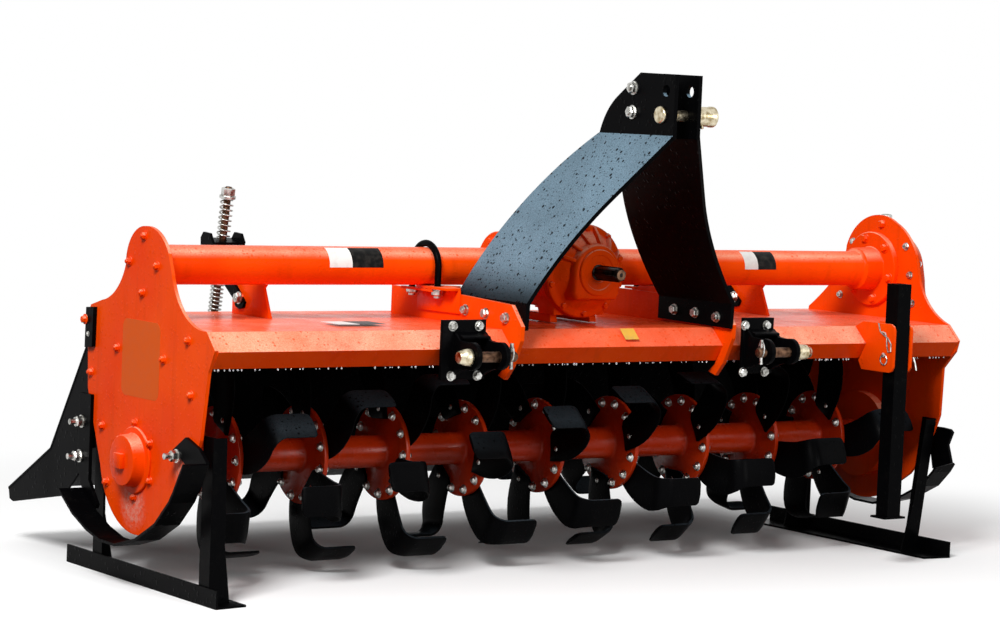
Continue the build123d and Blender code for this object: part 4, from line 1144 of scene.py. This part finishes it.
def skids_and_leg():
    """Bolts of the skid bars and edge strip, the leg's cheeks and clips, and hanging drops."""
    rows = [(at(LEFT_FACE - 8.5, y, z), (-1, 0, 0)) for y, z in ((244, 60), (250, -20), (-206, 34))]
    rows += [(at(RIGHT_FACE + 8.5, y, z), (1, 0, 0))
             for y, z in ((244, 60), (250, -20), (-272, 10))]
    fasteners("skid_bolts", rows, "zinc", 22, 15, 15, 3, 14, 7)
    fasteners("edge_strip_bolts", [at(LEFT_FACE - 10, 241, 294)], "orange_paint", 15, 8, 12, 2)
    fasteners("edge_strip_rivets", [at(LEFT_FACE - 10, 224, 262)], "zinc", 9, 3, 6, 1)
    # the leg's two cheeks, with an R-clip and a lynch pin on the left one
    x = LEG_X
    cheeks, clip = Shape(), Shape()
    cheek = [(-342.2, 270), (-317, 226), (-330, 205), (-430, 205), (-440, 209), (-446, 219),
             (-446, 309), (-441, 320), (-431, 325), (-330, 325), (-300, 310.2)]
    for side in (-1, 1):
        cheeks.plate(cheek, x + side * 28 - 3, 6)
    cheeks.add("leg_cheeks", "orange_paint", "leg_bracket", bevel=1.5)
    wire = [(-388, 324), (-396, 304), (-410, 296), (-424, 290), (-436, 276), (-436, 258),
            (-427, 256), (-422, 270), (-420, 290), (-414, 302), (-402, 304)]
    clip.bar([at(x - 33, y, z) for y, z in wire], 2, 8)
    loop = [at(x - 33, -412 + 12 * math.sin(a), 236 + 12 * math.cos(a)) for a in around(20)]
    clip.bar(loop + loop[:1], 2, 8)
    clip.bar([at(x + 34, -446, 244), at(x + 36, -452, 226), at(x + 36, -456, 212)], 2.2, 8)
    clip.turned([(-4, 4), (-3, 5.5), (4, 5.5)], at(x - 33, -412, 248), (1, 0, 0), 16)
    clip.add("leg_clips", "zinc", angle=40)
    edge = bpy.data.meshes.new("edge")
    edge.from_pydata([at(LEFT_FACE + 12, -318, 229), at(RIGHT_FACE - 12, -318, 229)], [(0, 1)], [])
    drops = grow("deck_drops", edge, DRIPS, {"Spacing": 0.011, "Drop Radius": 0.0021,
                                             "Share": 0.5, "Seed": 11, "Finish": WATER}, 80)
    place_on(drops, "frame", "orange_paint")


left_end()
right_end()
tube_and_deck()
rotor()
gearbox()
mast_and_hitch()
spring_rods()
skids_and_leg()

# ================================================================ camera
CAMERA_PLACE = (-4.1714, -5.8458, 1.0795)
LENS_MM = 106.41
YAW, PITCH, ROLL = (math.radians(a) for a in (35.072, 3.946, 2.389))
forward = Vector((math.sin(YAW) * math.cos(PITCH), math.cos(YAW) * math.cos(PITCH),
                  -math.sin(PITCH)))
level = Vector((math.cos(YAW), -math.sin(YAW), 0.0))
upright = level.cross(forward)
right = math.cos(ROLL) * level + math.sin(ROLL) * upright
up = -math.sin(ROLL) * level + math.cos(ROLL) * upright
cam_data = bpy.data.cameras.new("camera")
cam_data.sensor_width = 36.0
cam_data.lens = LENS_MM
cam_data.clip_end = 100.0
cam = link(bpy.data.objects.new("camera", cam_data))
cam.matrix_world = Matrix((*zip(right, up, -forward, CAMERA_PLACE), (0, 0, 0, 1)))
bpy.context.scene.camera = cam
bpy.context.scene.view_settings.view_transform = "Standard"


# ================================================================ floor, backdrop, light
def white_floor(name):
    """White studio paper. Camera and mirrors see it lit, fading into the white backdrop; the light
    that it throws back under the machine is held down, as over a dark yard."""
    m = bpy.data.materials.new(name)
    m.use_nodes = True
    t = m.node_tree
    t.nodes.remove(t.nodes["Principled BSDF"])
    paper = node(t, "ShaderNodeBsdfDiffuse", {"Color": srgb("FFFFFF")})
    dim = node(t, "ShaderNodeBsdfDiffuse", {"Color": (0.1, 0.1, 0.1, 1)})
    glow = node(t, "ShaderNodeEmission", {"Color": (1, 1, 1, 1), "Strength": 1.0})
    place = node(t, "ShaderNodeTexCoord")
    far = node(t, "ShaderNodeVectorMath", {"operation": "LENGTH"}, {0: place.outputs["Object"]})
    fade = node(t, "ShaderNodeMapRange", spread(1.3, 2.4, curve=SOFT),
                {"Value": far.outputs["Value"]})
    paper_far = node(t, "ShaderNodeMixShader", links={0: fade, 1: paper, 2: glow})
    both = node(t, "ShaderNodeMixShader", links={0: seen_directly(t), 1: dim, 2: paper_far})
    join(t, t.nodes["Material Output"], {"Surface": both})
    return m


bpy.ops.mesh.primitive_plane_add(size=60)
floor = bpy.context.object
floor.name = "floor"
floor.data.materials.append(white_floor("white paper floor"))

world = bpy.data.worlds.new("studio")
bpy.context.scene.world = world
world.use_nodes = True
t = world.node_tree
sky = t.nodes["Background"]
way = node(t, "ShaderNodeTexCoord")
parts = node(t, "ShaderNodeSeparateXYZ", links={0: way.outputs["Generated"]})
rise = node(t, "ShaderNodeMapRange", spread(0.0, 0.9, 0.08, 0.66), {"Value": parts.outputs["Z"]})
brightness = node(t, "ShaderNodeMix", {"data_type": "FLOAT", 3: 1.0},
                  {0: seen_directly(t), 2: rise})
join(t, sky, {"Strength": brightness})
sky.inputs["Color"].default_value = (1, 1, 1, 1)


# soft boxes: place and what each looks at in metres, side in metres, watts
for name, place, target, size, power in (("key", (-4.6, -3.4, 4.8), (0, 0, 0.4), 2.0, 475),
                                         ("front", (0.6, -6.3, 1.9), (0, 0, 0.4), 2.2, 85),
                                         ("fill", (4.5, -4.5, 2.6), (0, 0, 0.5), 2.5, 20)):
    light = bpy.data.lights.new(name, "AREA")
    light.size = size
    light.energy = power
    lamp = link(bpy.data.objects.new(name, light))
    lamp.location = place
    lamp.rotation_euler = (Vector(target) - Vector(place)).to_track_quat("-Z", "Y").to_euler()
